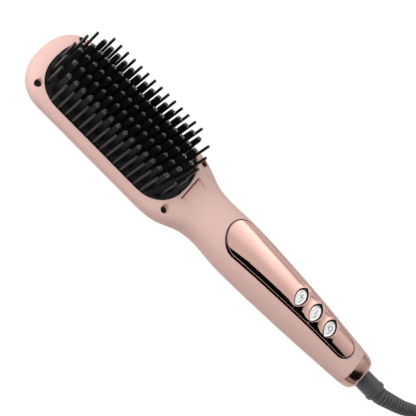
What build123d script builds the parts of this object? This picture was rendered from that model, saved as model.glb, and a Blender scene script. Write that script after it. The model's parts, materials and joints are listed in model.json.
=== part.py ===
from build123d import *
import os
from math import asin, atan2, cos, degrees, pi, radians, sin, tan

os.makedirs("parts", exist_ok=True)

# Hair straightener brush. All sizes are in millimetres. While it is modelled, X runs from the
# tip of the head (0) to the cord, Y is across, and Z is the height over the body's axis.
# Everything is moved into the part's own frame when it is written.

# Body: half widths, heights over the axis and depths under it, each at its place
head_half_width = 27.5
neck_half_width = 17.4
grip_half_width = 18.5
waist_half_width = 16.7
tail_half_width = 12.9
head_top = 9.8
neck_top = 12.2
shoulder_top = 14.8
crest_top = 15.9
waist_top = 14.7
tail_top = 9.4
head_depth = 13.3
neck_depth = 10.5
grip_depth = 13.3
tail_depth = 11.8
tip_length = 24.0
tip_rise = 16.0
tip_power = 2.3
tip_rise_power = 2.5
head_end = 110.0
neck_at = 142.0
neck_top_at = 129.0
shoulder_at = 153.0
grip_at = 168.0
crest_at = 176.0
waist_at = 215.0
seam_at = 270.3
rest_depth = 13.0
head_power = 3.0
neck_power = 2.6
grip_power = 2.25
under_power = 2.2
wall = 2.2
parting_height = -1.5
parting_gap = 0.12

# How finely the curved shells are drawn
section_turn = 15
section_step = 14.0
tip_sections = 6
tip_first_turn = 7.0
outline_points = 12

# Brush plate in its opening
opening_length = 108.6
opening_half_width = 23.9
opening_at = 63.9
opening_reach = 22.4
opening_power = 2.45
plate_gap = 0.15
plate_crown = 8.8
plate_edge = 6.6
plate_skin = 2.2
plate_rim = 2.0
seat_height = 4.0
lip_width = 1.6
lip_thickness = 2.8
collar_wall = 1.0

# Bristles
bristle_length = 23.7
bristle_pitch = 5.605
blade_width = 4.0
blade_tip_width = 3.2
blade_thickness = 1.6
blade_slot_gap = 0.15
blade_tip_length = 2.4
centre_row_blades = 17
row_spacing = 8.15
first_blade_at = 17.66
comb_thickness = 1.5
comb_width = 3.4
pin_radius = 0.72
pin_head_radius = 0.92
pin_head_length = 1.6
pin_flare = 0.4
pin_seat_depth = 1.5
pin_fit = 0.05
side_pin_offset = 22.5
side_pins = 14
head_end_pins = ((2.9, 0.0), (4.6, 9.6), (7.4, 16.6))
neck_end_pins = ((5.4, 0.0), (6.3, 9.3), (9.5, 16.8))

# Heating parts, stacked downwards from the comb strips
heating_plate_thickness = 2.6
heating_plate_gap = 0.5
frame_thickness = 1.6
frame_width = 4.2
frame_inset = 0.4
post_radius = 1.7
post_inset = 4.0
post_offset = 7.0
heater_length = 84.0
heater_width = 13.0
heater_offset = 9.0
heater_thickness = 3.0
mica_thickness = 0.5
clamp_thickness = 0.8
clamp_leg = 3.0
fuse_radius = 1.4
fuse_length = 10.0
fuse_at = -12.0
thermistor_length = 4.0
thermistor_width = 3.0
thermistor_thickness = 1.8
thermistor_at = 18.0

# Screws
well_radius = 2.4
well_wall = 1.0
head_well_inset = 3.95
neck_well_inset = 1.2
well_offset = 20.9
screw_radius = 1.1
screw_head_radius = 2.1
screw_head_height = 1.4
screw_grip = 6.0
boss_wall = 1.5
thread_fit = 0.05
pass_fit = 0.2
small_screw_radius = 0.8
small_head_radius = 1.5
small_head_height = 1.1
small_screw_grip = 1.6

# Vent at the neck
slit_at = 120.0
slit_half_length = 9.3
slit_width = 1.2
recess_length = 9.3
recess_depth = 2.4
vent_pad_wall = 1.6
vent_pad_height = 5.5
grille_thickness = 1.5
grille_tooth = 0.7
grille_teeth = 7
ion_block_length = 22.0
ion_block_width = 16.0
ion_block_height = 7.0
ion_block_at = 140.0
ion_block_bottom = -6.5
cradle_spacing = 14.0
cradle_thickness = 2.0
needle_radius = 0.5
needle_length = 6.5
needle_point = 2.0
needle_height = -2.0

# Control panel
panel_start_at = 165.2
panel_start_radius = 12.5
panel_end_at = 255.3
panel_end_radius = 7.0
panel_rise = 0.7
panel_depth = 1.1
bezel_rise = 0.35
bezel_width = 0.9
bezel_gap = 0.08

# Buttons, in the frame of the middle one
button_at = 227.3
button_pitch = 13.6
button_length = 14.4
button_width = 8.4
button_recess = 0.3
button_gap = 0.18
button_guide_fit = 0.15
button_travel = 0.6
button_flange = 0.8
button_flange_thickness = 0.8
button_play = 0.05
guide_depth = 5.2
guide_half_width = 8.6
plunger_radius = 1.4
plunger_length = 1.8
switch_clearance = 0.1
switch_stem_radius = 1.6
switch_stem_height = 0.6
switch_size = 6.0
switch_height = 1.5
lamp_length = 1.6
lamp_width = 0.9
lamp_height = 0.6
switch_board_length = 38.0
switch_board_width = 15.0
switch_board_thickness = 1.2
stake_radius = 0.7
stake_post_radius = 1.3
stake_offset = 6.1
stake_head = 0.6

# Handle screws, under the panel
handle_screw_at = (171.0, 250.8)
handle_screw_sink = 2.2

# Main board
board_at = 211.5
board_length = 63.0
board_width = 22.0
board_thickness = 1.6
board_height = -2.2
board_screw_inset = 4.0
board_screw_offset = 8.0
capacitor_size = (13.0, 7.0, 10.0)
capacitor_place = (196.0, 5.0)
triac_size = (10.0, 4.5, 9.0)
triac_place = (196.0, -6.0)
triac_tab = 1.2
chip_size = (5.0, 6.2, 1.5)
chip_place = (212.0, 5.5)
small_chip_size = (3.0, 1.6, 1.2)
small_chip_places = ((206.0, -7.0), (211.0, -7.0), (222.0, 6.5), (222.0, -6.5))
ribbon_width = 8.0
ribbon_thickness = 0.4
ribbon_at = 216.5

# Cord end: cap, bearing and swivel
cap_end_at = 279.5
cap_gap = 0.15
cap_half_width = 10.8
cap_top = 8.0
cap_depth = 10.2
cap_wall = 1.8
cap_end_wall = 2.0
cap_round = 2.4
swivel_height = -1.2
barrel_radius = 6.45
barrel_end_at = 294.0
barrel_lip_radius = 6.9
barrel_lip_length = 2.0
barrel_bore = 4.5
barrel_bore_depth = 12.0
flange_radius = 7.5
flange_length = 3.2
flange_play = 0.3
barrel_cap_gap = 0.3
journal_radius = 5.0
journal_fit = 0.05
stub_radius = 4.0
stub_length = 8.3
wire_bore = 2.2
ring_radius = 4.9
ring_width = 2.0
ring_spacing = 3.2
block_length = 9.2
spigot_length = 2.6
block_fit = 0.1
spring_thickness = 0.3
spring_width = 3.0
spring_foot = 2.6

# Wires inside. Their routes are chosen by hand, to pass the posts and the parts on the board.
heater_wire_radius = 0.6
heater_wire_slack = 7.0
heater_wire_clearance = 2.5
heater_wire_drop = 3.0
heater_wire_run = 18.0
heater_wire_height = 2.0
heater_wire_offsets = (6.6, 2.5)
heater_wire_inset = 5.0
ion_wire_radius = 0.5
ion_wire_joint = 0.2
ion_wire_slack = 5.0
ion_wire_offsets = (3.0, 4.6, 5.4)
ion_wire_heights = (-3.0, -1.0, 0.0)
ion_wire_inset = 7.0
supply_wire_radius = 0.8
supply_wire_offsets = (7.0, 7.4)
supply_wire_height = 0.2
supply_wire_inset = 9.0
supply_wire_slack = 4.0

# Strain relief and cord. The routes are chosen by hand.
boot_start_radius = 5.6
boot_end_radius = 4.1
boot_stem_gap = 0.3
boot_rib_pitch = 2.5
boot_rib_width = 1.4
boot_rib_depth = 0.9
boot_sections = 6
boot_points = ((294.3, 0.0, -1.2), (298.0, 0.0, -1.2), (314.5, 6.2, -3.0), (326.5, 13.4, -5.0))
boot_bend_radii = (16.0, 40.0)
cord_radius = 2.8
cord_points = (
    (326.5, 13.4, -5.0),
    (334.5, 18.2, -6.333),
    (342.0, 27.6, -8.6),
    (350.5, 40.5, -9.3),
)
coil_at = (381.0, 20.0)
coil_mean_radius = 31.0
coil_columns = 3
coil_layers = 3
coil_gap = 0.2
coil_lift = 0.8
tie_thickness = 0.7
tie_width = 9.0
tie_turn = -110.0
tail_start_turn = 200.0
tail_step_turn = 28.0
tail_steps = 7
tail_end = (410.3, 22.0)
plug_length = 24.0
plug_width = 26.0
plug_thickness = 13.7
plug_corner = 4.0
plug_neck_radius = 4.6
plug_neck_length = 6.0
pin_spacing = 18.6
plug_pin_radius = 2.0
plug_pin_length = 19.0
plug_pin_sink = 3.0

# Worked out from the sizes above
half_length = barrel_end_at / 2
opening_half_length = opening_length / 2
lip_bottom = seat_height - lip_thickness
parting_top = parting_height + parting_gap / 2
parting_bottom = parting_height - parting_gap / 2
well_floor = -parting_top
heater_bottom = lip_bottom - heater_thickness
comb_bottom = lip_bottom + heating_plate_thickness
comb_top = comb_bottom + comb_thickness
frame_bottom = lip_bottom - frame_thickness
well_places = [
    (opening_at + side * (opening_half_length - inset), across * well_offset)
    for side, inset in ((-1, head_well_inset), (1, neck_well_inset))
    for across in (-1, 1)
]
switch_gap = button_travel + switch_clearance
far = 60.0


def smooth(stations, at):
    """Value at a place on the monotone cubic through (place, value) stations."""
    places = [place for place, value in stations]
    values = [value for place, value in stations]
    if at <= places[0]:
        return values[0]
    if at >= places[-1]:
        return values[-1]
    spans = [b - a for a, b in zip(places, places[1:])]
    rises = [(b - a) / span for a, b, span in zip(values, values[1:], spans)]
    slopes = [0.0]
    for before, after in zip(rises, rises[1:]):
        slopes.append(0.0 if before * after <= 0 else 2 * before * after / (before + after))
    slopes.append(rises[-1])
    index = max(i for i, place in enumerate(places[:-1]) if place <= at)
    span = spans[index]
    part = (at - places[index]) / span
    return (
        values[index] * (1 + 2 * part) * (1 - part) ** 2
        + values[index + 1] * part**2 * (3 - 2 * part)
        + slopes[index] * span * part * (1 - part) ** 2
        - slopes[index + 1] * span * part**2 * (1 - part)
    )


def closing(at, length, power):
    """Share of the full size at a place in a rounded end of this length."""
    if at >= length:
        return 1.0
    return (1 - ((length - at) / length) ** power) ** (1 / power)


def half_width(at):
    stations = (
        (tip_length, head_half_width),
        (head_end, head_half_width),
        (neck_at, neck_half_width),
        (grip_at, grip_half_width),
        (waist_at, waist_half_width),
        (seam_at, tail_half_width),
    )
    return smooth(stations, at)


def top_height(at):
    stations = (
        (tip_length, head_top),
        (opening_at + opening_half_length / 2, head_top),
        (neck_top_at, neck_top),
        (shoulder_at, shoulder_top),
        (crest_at, crest_top),
        (waist_at, waist_top),
        (seam_at, tail_top),
    )
    return smooth(stations, at)


def under_depth(at):
    stations = (
        (tip_length, head_depth),
        (head_end, head_depth),
        (neck_at, neck_depth),
        (grip_at, grip_depth),
        (waist_at, grip_depth),
        (seam_at, tail_depth),
    )
    return smooth(stations, at)


def top_power(at):
    return smooth(((head_end, head_power), (neck_at, neck_power), (crest_at, grip_power)), at)


def signed_power(value, power):
    return abs(value) ** power * (1 if value >= 0 else -1)


def ring_points(half, top, depth, power, turns):
    """Points of a section: a superellipse over the axis and another under it."""
    points = []
    for degree in turns:
        turn = radians(degree)
        over = sin(turn) >= 0
        share = 2 / (power if over else under_power)
        across = half * signed_power(cos(turn), share)
        high = (top if over else depth) * signed_power(sin(turn), share)
        points.append((across, high))
    return points


def body_ring(at, grow, upper):
    """Section of the body moved outwards by grow, closed by a chord on the side not needed."""
    along = at + grow
    wide = closing(along, tip_length + grow, tip_power)
    rise = closing(along, tip_rise + grow, tip_rise_power)
    first = (-90 if upper else 90) + section_turn
    points = ring_points(
        (half_width(at) + grow) * wide,
        (top_height(at) + grow) * rise,
        (under_depth(at) + grow) * wide,
        top_power(at),
        range(first, first + 361 - 2 * section_turn, section_turn),
    )
    corners = [Vector(at, *point) for point in points]
    return Wire([Edge.make_spline(corners), Edge.make_line(corners[-1], corners[0])])


def body(grow, start=None, end=seam_at, upper=True):
    """The body's outer shape moved outwards by grow, from start to end."""
    places = []
    if start is None:
        for step in range(tip_sections):
            turn = radians(tip_first_turn + (90 - tip_first_turn) * step / tip_sections)
            places.append(-grow + (tip_length + grow) * (1 - cos(turn)))
        start = tip_length
    count = max(2, round((end - start) / section_step))
    places += [start + (end - start) * step / count for step in range(count + 1)]
    return Solid.make_loft([body_ring(at, grow, upper) for at in places])


def prism(sketch, low, high):
    """A flat outline drawn at height 0, raised from low to high."""
    return extrude(Pos(0, 0, low) * sketch, amount=high - low)


def column(place, radius, low, high):
    """A round upright."""
    return prism(Pos(place[0], place[1]) * Circle(radius), low, high)


def block(low, high):
    """A box from its lowest to its highest corner."""
    size = [b - a for a, b in zip(low, high)]
    return Pos(*low) * Box(*size, align=(Align.MIN, Align.MIN, Align.MIN))


def join(pieces):
    """One shape of all the pieces."""
    first, *rest = pieces
    return first.fuse(*rest) if rest else first


def group(pieces):
    """Separate solids kept in one node."""
    return Compound([solid for piece in pieces for solid in piece.solids()])


def mirrored(piece):
    """The piece and its twin on the other side of the body."""
    return [piece, piece.mirror(Plane.XZ)]


def oval(inset=0.0):
    """Outline of the brush opening, moved inwards by inset."""
    reach = opening_reach - inset
    half = opening_half_width - inset
    straight = opening_half_length - opening_reach
    share = 2 / opening_power
    ends = []
    for side in (-1, 1):
        points = []
        for step in range(outline_points + 1):
            turn = pi * step / outline_points - pi / 2
            along = straight + reach * abs(cos(turn)) ** share
            points.append((opening_at + side * along, half * signed_power(sin(turn), share)))
        ends.append(Spline(points, tangents=[(side, 0), (-side, 0)]))
    sides = [
        Line((opening_at - straight, y), (opening_at + straight, y)) for y in (-half, half)
    ]
    return make_face(Curve() + ends + sides)


def plate_height(across):
    """Height of the domed brush plate at a distance from its middle line."""
    return plate_crown - (plate_crown - plate_edge) * (across / opening_half_width) ** 2


def dome(drop=0.0):
    """Everything under the brush plate's domed surface, moved down by drop."""
    half = opening_half_width + 1
    points = [(half * share, plate_height(half * share) - drop) for share in (-1, -0.5, 0, 0.5, 1)]
    low = -far
    crown = Spline(points)
    sides = [
        Line((half, plate_height(half) - drop), (half, low)),
        Line((half, low), (-half, low)),
        Line((-half, low), (-half, plate_height(half) - drop)),
    ]
    face = make_face(Curve() + [crown] + sides)
    start = opening_at - opening_half_length - 1
    return extrude(Plane.YZ.offset(start) * face, amount=opening_length + 2)


def blade_rows():
    """For each row of blades, its side offset and the places of its blades."""
    rows = []
    for index in range(-2, 3):
        count = centre_row_blades - abs(index)
        start = first_blade_at + abs(index) * bristle_pitch / 2
        places = [start + step * bristle_pitch for step in range(count)]
        rows.append((index * row_spacing, places))
    return rows


def side_pin_places():
    start = first_blade_at + 1.5 * bristle_pitch
    return [start + step * bristle_pitch for step in range(side_pins)]


def end_pin_places(side):
    """Five pins in an arc, each at its distance inside one end of the opening."""
    pins = head_end_pins if side < 0 else neck_end_pins
    places = []
    for inset, across in pins:
        along = opening_at + side * (opening_half_length - inset)
        places += [(along, y) for y in sorted({across, -across})]
    return places


def post_places():
    along = opening_half_length - post_inset
    return [
        (opening_at + side * along, across)
        for side in (-1, 1)
        for across in (-post_offset, post_offset)
    ]


# Frame of the buttons: its origin is on the panel over the middle button.
button_slope = degrees(
    atan2(
        top_height(button_at - button_pitch) - top_height(button_at + button_pitch),
        2 * button_pitch,
    )
)
button_frame = Pos(button_at, 0, top_height(button_at) + panel_rise) * Rot(0, button_slope, 0)


def panel_outline(grow=0.0):
    """Outline of the control panel: two circles and their common tangents."""
    big = panel_start_radius + grow
    small = panel_end_radius + grow
    span = panel_end_at - panel_start_at
    lean = asin((big - small) / span)
    x1 = panel_start_at + big * sin(lean)
    x2 = panel_end_at + small * sin(lean)
    y1 = big * cos(lean)
    y2 = small * cos(lean)
    head = ThreePointArc((x1, y1), (panel_start_at - big, 0), (x1, -y1))
    tail = ThreePointArc((x2, -y2), (panel_end_at + small, 0), (x2, y2))
    return make_face(Curve() + [head, tail, Line((x1, -y1), (x2, -y2)), Line((x2, y2), (x1, y1))])


def almond(grow=0.0):
    """Outline of a button: two arcs that meet in points at its ends."""
    half = button_length / 2 + grow
    bulge = button_width / 2 + grow
    arcs = [ThreePointArc((0, -half), (side * bulge, 0), (0, half)) for side in (-1, 1)]
    return make_face(Curve() + arcs)


def button_places():
    return [step * button_pitch for step in (-1, 0, 1)]


def stake_places():
    return [(x * button_pitch / 2, y * stake_offset) for x in (-1, 1) for y in (-1, 1)]


def board_screw_places():
    along = board_length / 2 - board_screw_inset
    return [
        (board_at + x * along, y * board_screw_offset) for x in (-1, 1) for y in (-1, 1)
    ]


def pocket_floor(at):
    return top_height(at) - panel_depth


def well_post(place, radius, low, high):
    """A round upright with a rib that ties it to the wall beside it."""
    x, y = place
    outside = y + (2 * wall + radius) * (1 if y > 0 else -1)
    rib = block((x - radius, min(y, outside), low), (x + radius, max(y, outside), high))
    return join([column(place, radius, low, high), rib])


def front_cover():
    """Upper shell: rim of the head, neck and top of the handle."""
    outer = body(0) & block((-1, -far, parting_top), (seam_at, far, far))
    hollow = body(-wall, end=seam_at + 1) & block((-1, -far, parting_top), (seam_at + 1, far, far))
    collar = prism(oval(-collar_wall), lip_bottom, far)
    wells = [well_post(p, well_radius + well_wall, parting_top, far) for p in well_places]
    vent_pad = column((slit_at, 0), slit_half_length + vent_pad_wall, vent_pad_height, far)
    tubes = [
        column((at, 0), screw_head_radius + pass_fit + boss_wall, parting_top, far)
        for at in handle_screw_at
    ]
    guide_length = button_pitch + button_width / 2 + button_flange + 1
    guide = button_frame * block(
        (-guide_length, -guide_half_width, -guide_depth), (guide_length, guide_half_width, 0)
    )
    board_top = plunger_top() - plunger_length - switch_gap - switch_stem_height - switch_height
    posts = [
        button_frame * column(place, stake_post_radius, board_top, -guide_depth + 1)
        for place in stake_places()
    ]
    stakes = [
        button_frame
        * column(place, stake_radius, board_top - switch_board_thickness - stake_head, board_top)
        for place in stake_places()
    ]
    hollow = hollow.cut(collar, *wells, vent_pad, *tubes, guide, *posts, *stakes)
    cover = outer.cut(*hollow.solids())
    cuts = [
        prism(oval(), seat_height, far),
        prism(oval(lip_width), lip_bottom - 1, far),
        prism(panel_outline(bezel_width + bezel_gap), 0, far) - panel_body(-panel_depth),
        block(
            (slit_at - slit_width / 2, -slit_half_length, lip_bottom),
            (slit_at + slit_width / 2, slit_half_length, far),
        ),
        vent_recess(),
    ]
    cuts += [column(p, well_radius, 0, far) for p in well_places]
    cuts += [column(p, screw_radius + pass_fit, -far, far) for p in well_places]
    for at in handle_screw_at:
        seat = pocket_floor(at) - handle_screw_sink
        cuts.append(column((at, 0), screw_head_radius + pass_fit, seat, far))
        cuts.append(column((at, 0), screw_radius + pass_fit, -far, far))
    cuts += [
        button_frame * prism(Pos(x, 0) * almond(button_guide_fit), -guide_depth - 1, far)
        for x in button_places()
    ]
    return cover.cut(*cuts)


def vent_recess():
    """Half-moon hollow that ramps from the slit up to the surface."""
    start = slit_at - slit_width / 2
    end = slit_at + recess_length
    floor = top_height(slit_at) - recess_depth
    ramp = Polyline((start, floor), (end, top_height(end)), (end, far), (start, far), close=True)
    side = extrude(Plane.XZ * make_face(ramp), amount=far, both=True)
    return side & column((slit_at, 0), slit_half_length, 0, far)


def panel_body(grow):
    """The handle's shape round the panel, moved outwards by grow."""
    margin = 3 * section_step / 2
    start = panel_start_at - panel_start_radius - margin
    end = min(seam_at, panel_end_at + panel_end_radius + margin)
    return body(grow, start, end)


def back_cover():
    """Lower shell with the bosses that the screws bite into."""
    outer = body(0, upper=False) & block((-1, -far, -rest_depth), (seam_at, far, parting_bottom))
    hollow = body(-wall, end=seam_at + 1, upper=False) & block(
        (-1, -far, -far), (seam_at + 1, far, parting_bottom)
    )
    boss_radius = screw_radius + boss_wall
    bosses = [column(p, boss_radius, -far, far) for p in well_places]
    bosses += [column((at, 0), boss_radius, -far, far) for at in handle_screw_at]
    board_bottom = board_height - board_thickness
    mounts = [
        column(p, small_screw_radius + boss_wall, -far, board_bottom)
        for p in board_screw_places()
    ]
    cradles = [
        block(
            (ion_block_at + x - cradle_thickness / 2, -ion_block_width / 2, -far),
            (ion_block_at + x + cradle_thickness / 2, ion_block_width / 2, ion_block_bottom),
        )
        for x in (-cradle_spacing / 2, cradle_spacing / 2)
    ]
    hollow = hollow.cut(*bosses, *mounts, *cradles)
    caps = [
        column(place, boss_radius, parting_bottom - 1, parting_top)
        for place in [*well_places, *((at, 0) for at in handle_screw_at)]
    ]
    cover = join([outer.cut(*hollow.solids()), *caps])
    hole = screw_radius + thread_fit
    deep = parting_top - screw_grip - 1
    cuts = [column(p, hole, deep, far) for p in well_places]
    cuts += [column((at, 0), hole, deep, far) for at in handle_screw_at]
    board_hole = small_screw_radius + thread_fit
    cuts += [
        column(p, board_hole, board_bottom - small_screw_grip - 1, far)
        for p in board_screw_places()
    ]
    return cover.cut(*cuts)


def brush_plate():
    """Domed plate that the bristles stand in, hollow underneath."""
    outside = prism(oval(plate_gap), seat_height, far)
    pocket = prism(oval(plate_gap + plate_rim), seat_height - 1, far) & dome(plate_skin)
    posts = [column(p, post_radius, lip_bottom, plate_crown - plate_skin) for p in post_places()]
    plate = (outside & dome()) - pocket
    plate = join([plate, *[post & dome(plate_skin / 2) for post in posts]])
    width = blade_width + 2 * blade_slot_gap
    thick = blade_thickness + 2 * blade_slot_gap
    cuts = [
        Pos(at, across, seat_height) * Box(width, thick, far)
        for across, places in blade_rows()
        for at in places
    ]
    pins = [(at, side * side_pin_offset) for at in side_pin_places() for side in (-1, 1)]
    pins += [place for side in (-1, 1) for place in end_pin_places(side)]
    for place in pins:
        low = plate_height(place[1]) - pin_seat_depth
        cuts.append(column(place, pin_radius + pin_fit, low, far))
    depth = lip_bottom + small_screw_grip + 1
    cuts += [
        column(p, small_screw_radius - 2 * thread_fit, lip_bottom - 1, depth)
        for p in post_places()
    ]
    return plate.cut(*cuts)


def pin(place):
    """A round pin with a small wider head."""
    low = plate_height(place[1]) - pin_seat_depth
    top = plate_height(place[1]) + bristle_length
    neck = top - pin_head_length
    shoulder = top - pin_head_radius
    profile = Polyline(
        (0, top),
        (0, low),
        (pin_radius, low),
        (pin_radius, neck - pin_flare),
        (pin_head_radius, neck),
        (pin_head_radius, shoulder),
    )
    crown = CenterArc((0, shoulder), pin_head_radius, 0, 90)
    face = make_face(Curve() + [profile, crown])
    return Pos(place[0], place[1], 0) * revolve(Plane.XZ * face, Axis.Z)


def pin_group(places):
    return group([pin(place) for place in places])


def blade_half_width(share):
    """Half width of a blade at a share of its height over the plate."""
    return (blade_width + (blade_tip_width - blade_width) * share) / 2


def blade_row(row):
    """One heated comb: its strip on the heating plate and its flat blades."""
    across, places = row
    margin = blade_width / 2 + blade_slot_gap
    strip = block(
        (places[0] - margin, across - comb_width / 2, comb_bottom),
        (places[-1] + margin, across + comb_width / 2, comb_top),
    )
    base = plate_height(across)
    joint = base + bristle_length - blade_tip_length
    wide = blade_half_width(0)
    slim = blade_half_width(1 - blade_tip_length / bristle_length)
    outline = Polyline(
        (-wide, comb_top), (wide, comb_top), (wide, base), (slim, joint), (-slim, joint),
        (-wide, base), close=True,
    )
    flat = extrude(Plane.XZ * make_face(outline), amount=blade_thickness / 2, both=True)
    blades = [Pos(at, across, 0) * flat for at in places]
    return join([strip, *blades])


def blade_tips():
    """Rounded cool tip on each blade."""
    tips = []
    slim = blade_half_width(1 - blade_tip_length / bristle_length)
    for across, places in blade_rows():
        joint = plate_height(across) + bristle_length - blade_tip_length
        top = joint + blade_tip_length
        shoulder = joint + blade_tip_length / 3
        face = make_face(
            Curve()
            + [
                Polyline((-slim, shoulder), (-slim, joint), (slim, joint), (slim, shoulder)),
                ThreePointArc((slim, shoulder), (0, top), (-slim, shoulder)),
            ]
        )
        tip = extrude(Plane.XZ * face, amount=blade_thickness / 2, both=True)
        tips += [Pos(at, across, 0) * tip for at in places]
    return group(tips)


def heating_span():
    """Both ends of the heating plate, just inside the brush plate's posts."""
    half = opening_half_length - post_inset - post_radius - plate_gap
    return opening_at - half, opening_at + half


def heating_plate():
    start, end = heating_span()
    face = prism(oval(lip_width + heating_plate_gap), lip_bottom, comb_bottom)
    return face & block((start, -far, lip_bottom), (end, far, comb_bottom))


def heater_frame():
    """Frame that clamps the heating plate under the lip of the opening."""
    start, end = heating_span()
    outside = prism(oval(frame_inset), frame_bottom, lip_bottom)
    inside = prism(oval(frame_inset + frame_width), -far, far) & block(
        (start + clamp_leg - 1, -far, -far), (end - clamp_leg + 1, far, far)
    )
    holes = [column(p, small_screw_radius + pass_fit, -far, far) for p in post_places()]
    wells = [column(p, well_radius + well_wall + plate_gap, -far, far) for p in well_places]
    return outside.cut(inside, *holes, *wells)


def heating_elements():
    half = heater_length / 2
    bar = block(
        (opening_at - half, heater_offset - heater_width / 2, heater_bottom),
        (opening_at + half, heater_offset + heater_width / 2, lip_bottom),
    )
    return group(mirrored(bar))


def insulation_sheet():
    half = heater_length / 2
    across = heater_offset + heater_width / 2
    return block(
        (opening_at - half, -across, heater_bottom - mica_thickness),
        (opening_at + half, across, heater_bottom),
    )


def heater_clamp():
    """Sprung steel plate under the insulation, with a leg at each end up to the frame."""
    start, end = heating_span()
    start -= clamp_leg / 2
    end += clamp_leg / 2
    top = heater_bottom - mica_thickness
    low = top - clamp_thickness
    across = heater_width / 2
    plate = block((start, -across, low), (end, across, top))
    between = post_offset - small_head_radius - pass_fit
    legs = [
        block((x, -between, top), (x + clamp_thickness, between, frame_bottom))
        for x in (start, end - clamp_thickness)
    ]
    return join([plate, *legs])


def screw(place, seat, reach, radius, head_radius, head_height, under=False):
    """A screw with its head over the seat, or under it, and its shank beyond it."""
    side = -1 if under else 1
    head = column(place, head_radius, *sorted((seat, seat + side * head_height)))
    shank = column(place, radius, *sorted((seat, seat - side * reach)))
    slot = Pos(place[0], place[1], seat + side * head_height) * Box(
        2 * head_radius, head_height / 2, head_height
    )
    return join([head, shank]) - slot


def frame_screws():
    return group(
        screw(
            place,
            frame_bottom,
            frame_thickness + small_screw_grip,
            small_screw_radius - 3 * thread_fit,
            small_head_radius,
            small_head_height,
            under=True,
        )
        for place in post_places()
    )


def case_screws():
    return group(
        screw(
            place, 0, well_floor + screw_grip, screw_radius, screw_head_radius,
            screw_head_height,
        )
        for place in well_places
    )


def handle_screws():
    screws = []
    for at in handle_screw_at:
        seat = pocket_floor(at) - handle_screw_sink
        reach = seat - parting_top + screw_grip
        screws.append(
            screw((at, 0), seat, reach, screw_radius, screw_head_radius, screw_head_height)
        )
    return group(screws)


def board_screws():
    reach = board_thickness + small_screw_grip
    return group(
        screw(
            place, board_height, reach, small_screw_radius, small_head_radius,
            small_head_height,
        )
        for place in board_screw_places()
    )


def thermistor():
    x = opening_at + thermistor_at
    y = thermistor_width / 2
    return block(
        (x, -y, lip_bottom - thermistor_thickness), (x + thermistor_length, y, lip_bottom)
    )


def thermal_fuse():
    """Round fuse on a flat saddle against the heating plate."""
    x = opening_at + fuse_at
    height = lip_bottom - fuse_radius
    barrel = Pos(x, 0, height) * Rot(0, 90, 0) * Cylinder(fuse_radius, fuse_length)
    saddle = block(
        (x - fuse_length / 3, -fuse_radius, height), (x + fuse_length / 3, fuse_radius, lip_bottom)
    )
    return join([barrel, saddle])


def vent_grille():
    """Comb of short teeth across the slit, under the vent pad."""
    back = slit_at + slit_width / 2
    low = vent_pad_height - grille_thickness
    bar = block(
        (back, -slit_half_length, low), (back + 2 * slit_width, slit_half_length, vent_pad_height)
    )
    pitch = 2 * slit_half_length / grille_teeth
    teeth = [
        block(
            (slit_at - slit_width / 2 + plate_gap, y - grille_tooth / 2, low),
            (back, y + grille_tooth / 2, vent_pad_height),
        )
        for y in (pitch * (step - (grille_teeth - 1) / 2) for step in range(grille_teeth))
    ]
    return join([bar, *teeth])


def ion_generator():
    half = ion_block_length / 2
    across = ion_block_width / 2
    return block(
        (ion_block_at - half, -across, ion_block_bottom),
        (ion_block_at + half, across, ion_block_bottom + ion_block_height),
    )


def ion_needle():
    """Emitter needle that points at the slit."""
    face = ion_block_at - ion_block_length / 2
    shaft = Cylinder(needle_radius, needle_length, align=(Align.CENTER, Align.CENTER, Align.MIN))
    point = Pos(0, 0, needle_length) * Cone(
        needle_radius, needle_radius / 10, needle_point, align=(Align.CENTER, Align.CENTER, Align.MIN)
    )
    return Pos(face, 0, needle_height) * Rot(0, -90, 0) * join([shaft, point])


def panel_cut(grow_outline, rise):
    """A slice of the handle's shape inside the panel outline, between pocket and rise."""
    slab = panel_body(rise) & prism(panel_outline(grow_outline), 0, far)
    return slab.cut(panel_body(-panel_depth))


def control_panel():
    holes = [button_frame * prism(Pos(x, 0) * almond(button_gap), -far / 2, far / 2)
             for x in button_places()]
    return panel_cut(0, panel_rise).cut(*holes)


def panel_bezel():
    inside = prism(panel_outline(bezel_gap), 0, far)
    return panel_cut(bezel_width, bezel_rise).cut(inside)


def plunger_top():
    """Height of a button's flange bottom in the buttons' frame."""
    return -guide_depth - button_play - button_flange_thickness


def button(index):
    """Almond button that follows the panel's surface, with its retaining flange."""
    x = button_places()[index]
    top = -guide_depth - button_play
    stem = button_frame * prism(Pos(x, 0) * almond(), top, far)
    cap = stem & panel_body(panel_rise - button_recess)
    flange = button_frame * prism(Pos(x, 0) * almond(button_flange), plunger_top(), top)
    return join([cap, flange])


def plunger(index):
    """Post that carries a button's push to its switch."""
    x = button_places()[index]
    return button_frame * column((x, 0), plunger_radius, plunger_top() - plunger_length, plunger_top())


def switch_top():
    return plunger_top() - plunger_length - switch_gap


def tact_switches():
    switches = []
    body_top = switch_top() - switch_stem_height
    half = switch_size / 2
    for x in button_places():
        base = block((x - half, -half, body_top - switch_height), (x + half, half, body_top))
        stem = column((x, 0), switch_stem_radius, body_top, switch_top())
        switches.append(button_frame * join([base, stem]))
    return group(switches)


def switch_board_top():
    return switch_top() - switch_stem_height - switch_height


def switch_board():
    x = switch_board_length / 2
    y = switch_board_width / 2
    top = switch_board_top()
    board = block((-x, -y, top - switch_board_thickness), (x, y, top))
    holes = [column(p, stake_radius + pin_fit, -far, far) for p in stake_places()]
    return button_frame * board.cut(*holes)


def button_lamps():
    low = switch_board_top()
    y = switch_size / 2 + lamp_width
    lamps = [
        button_frame
        * block((x - lamp_length / 2, y, low), (x + lamp_length / 2, y + lamp_width, low + lamp_height))
        for x in button_places()
    ]
    return group(lamps)


def on_board(place, size):
    """A box-shaped component standing on the main board."""
    x, y = place
    return block(
        (x - size[0] / 2, y - size[1] / 2, board_height),
        (x + size[0] / 2, y + size[1] / 2, board_height + size[2]),
    )


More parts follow.
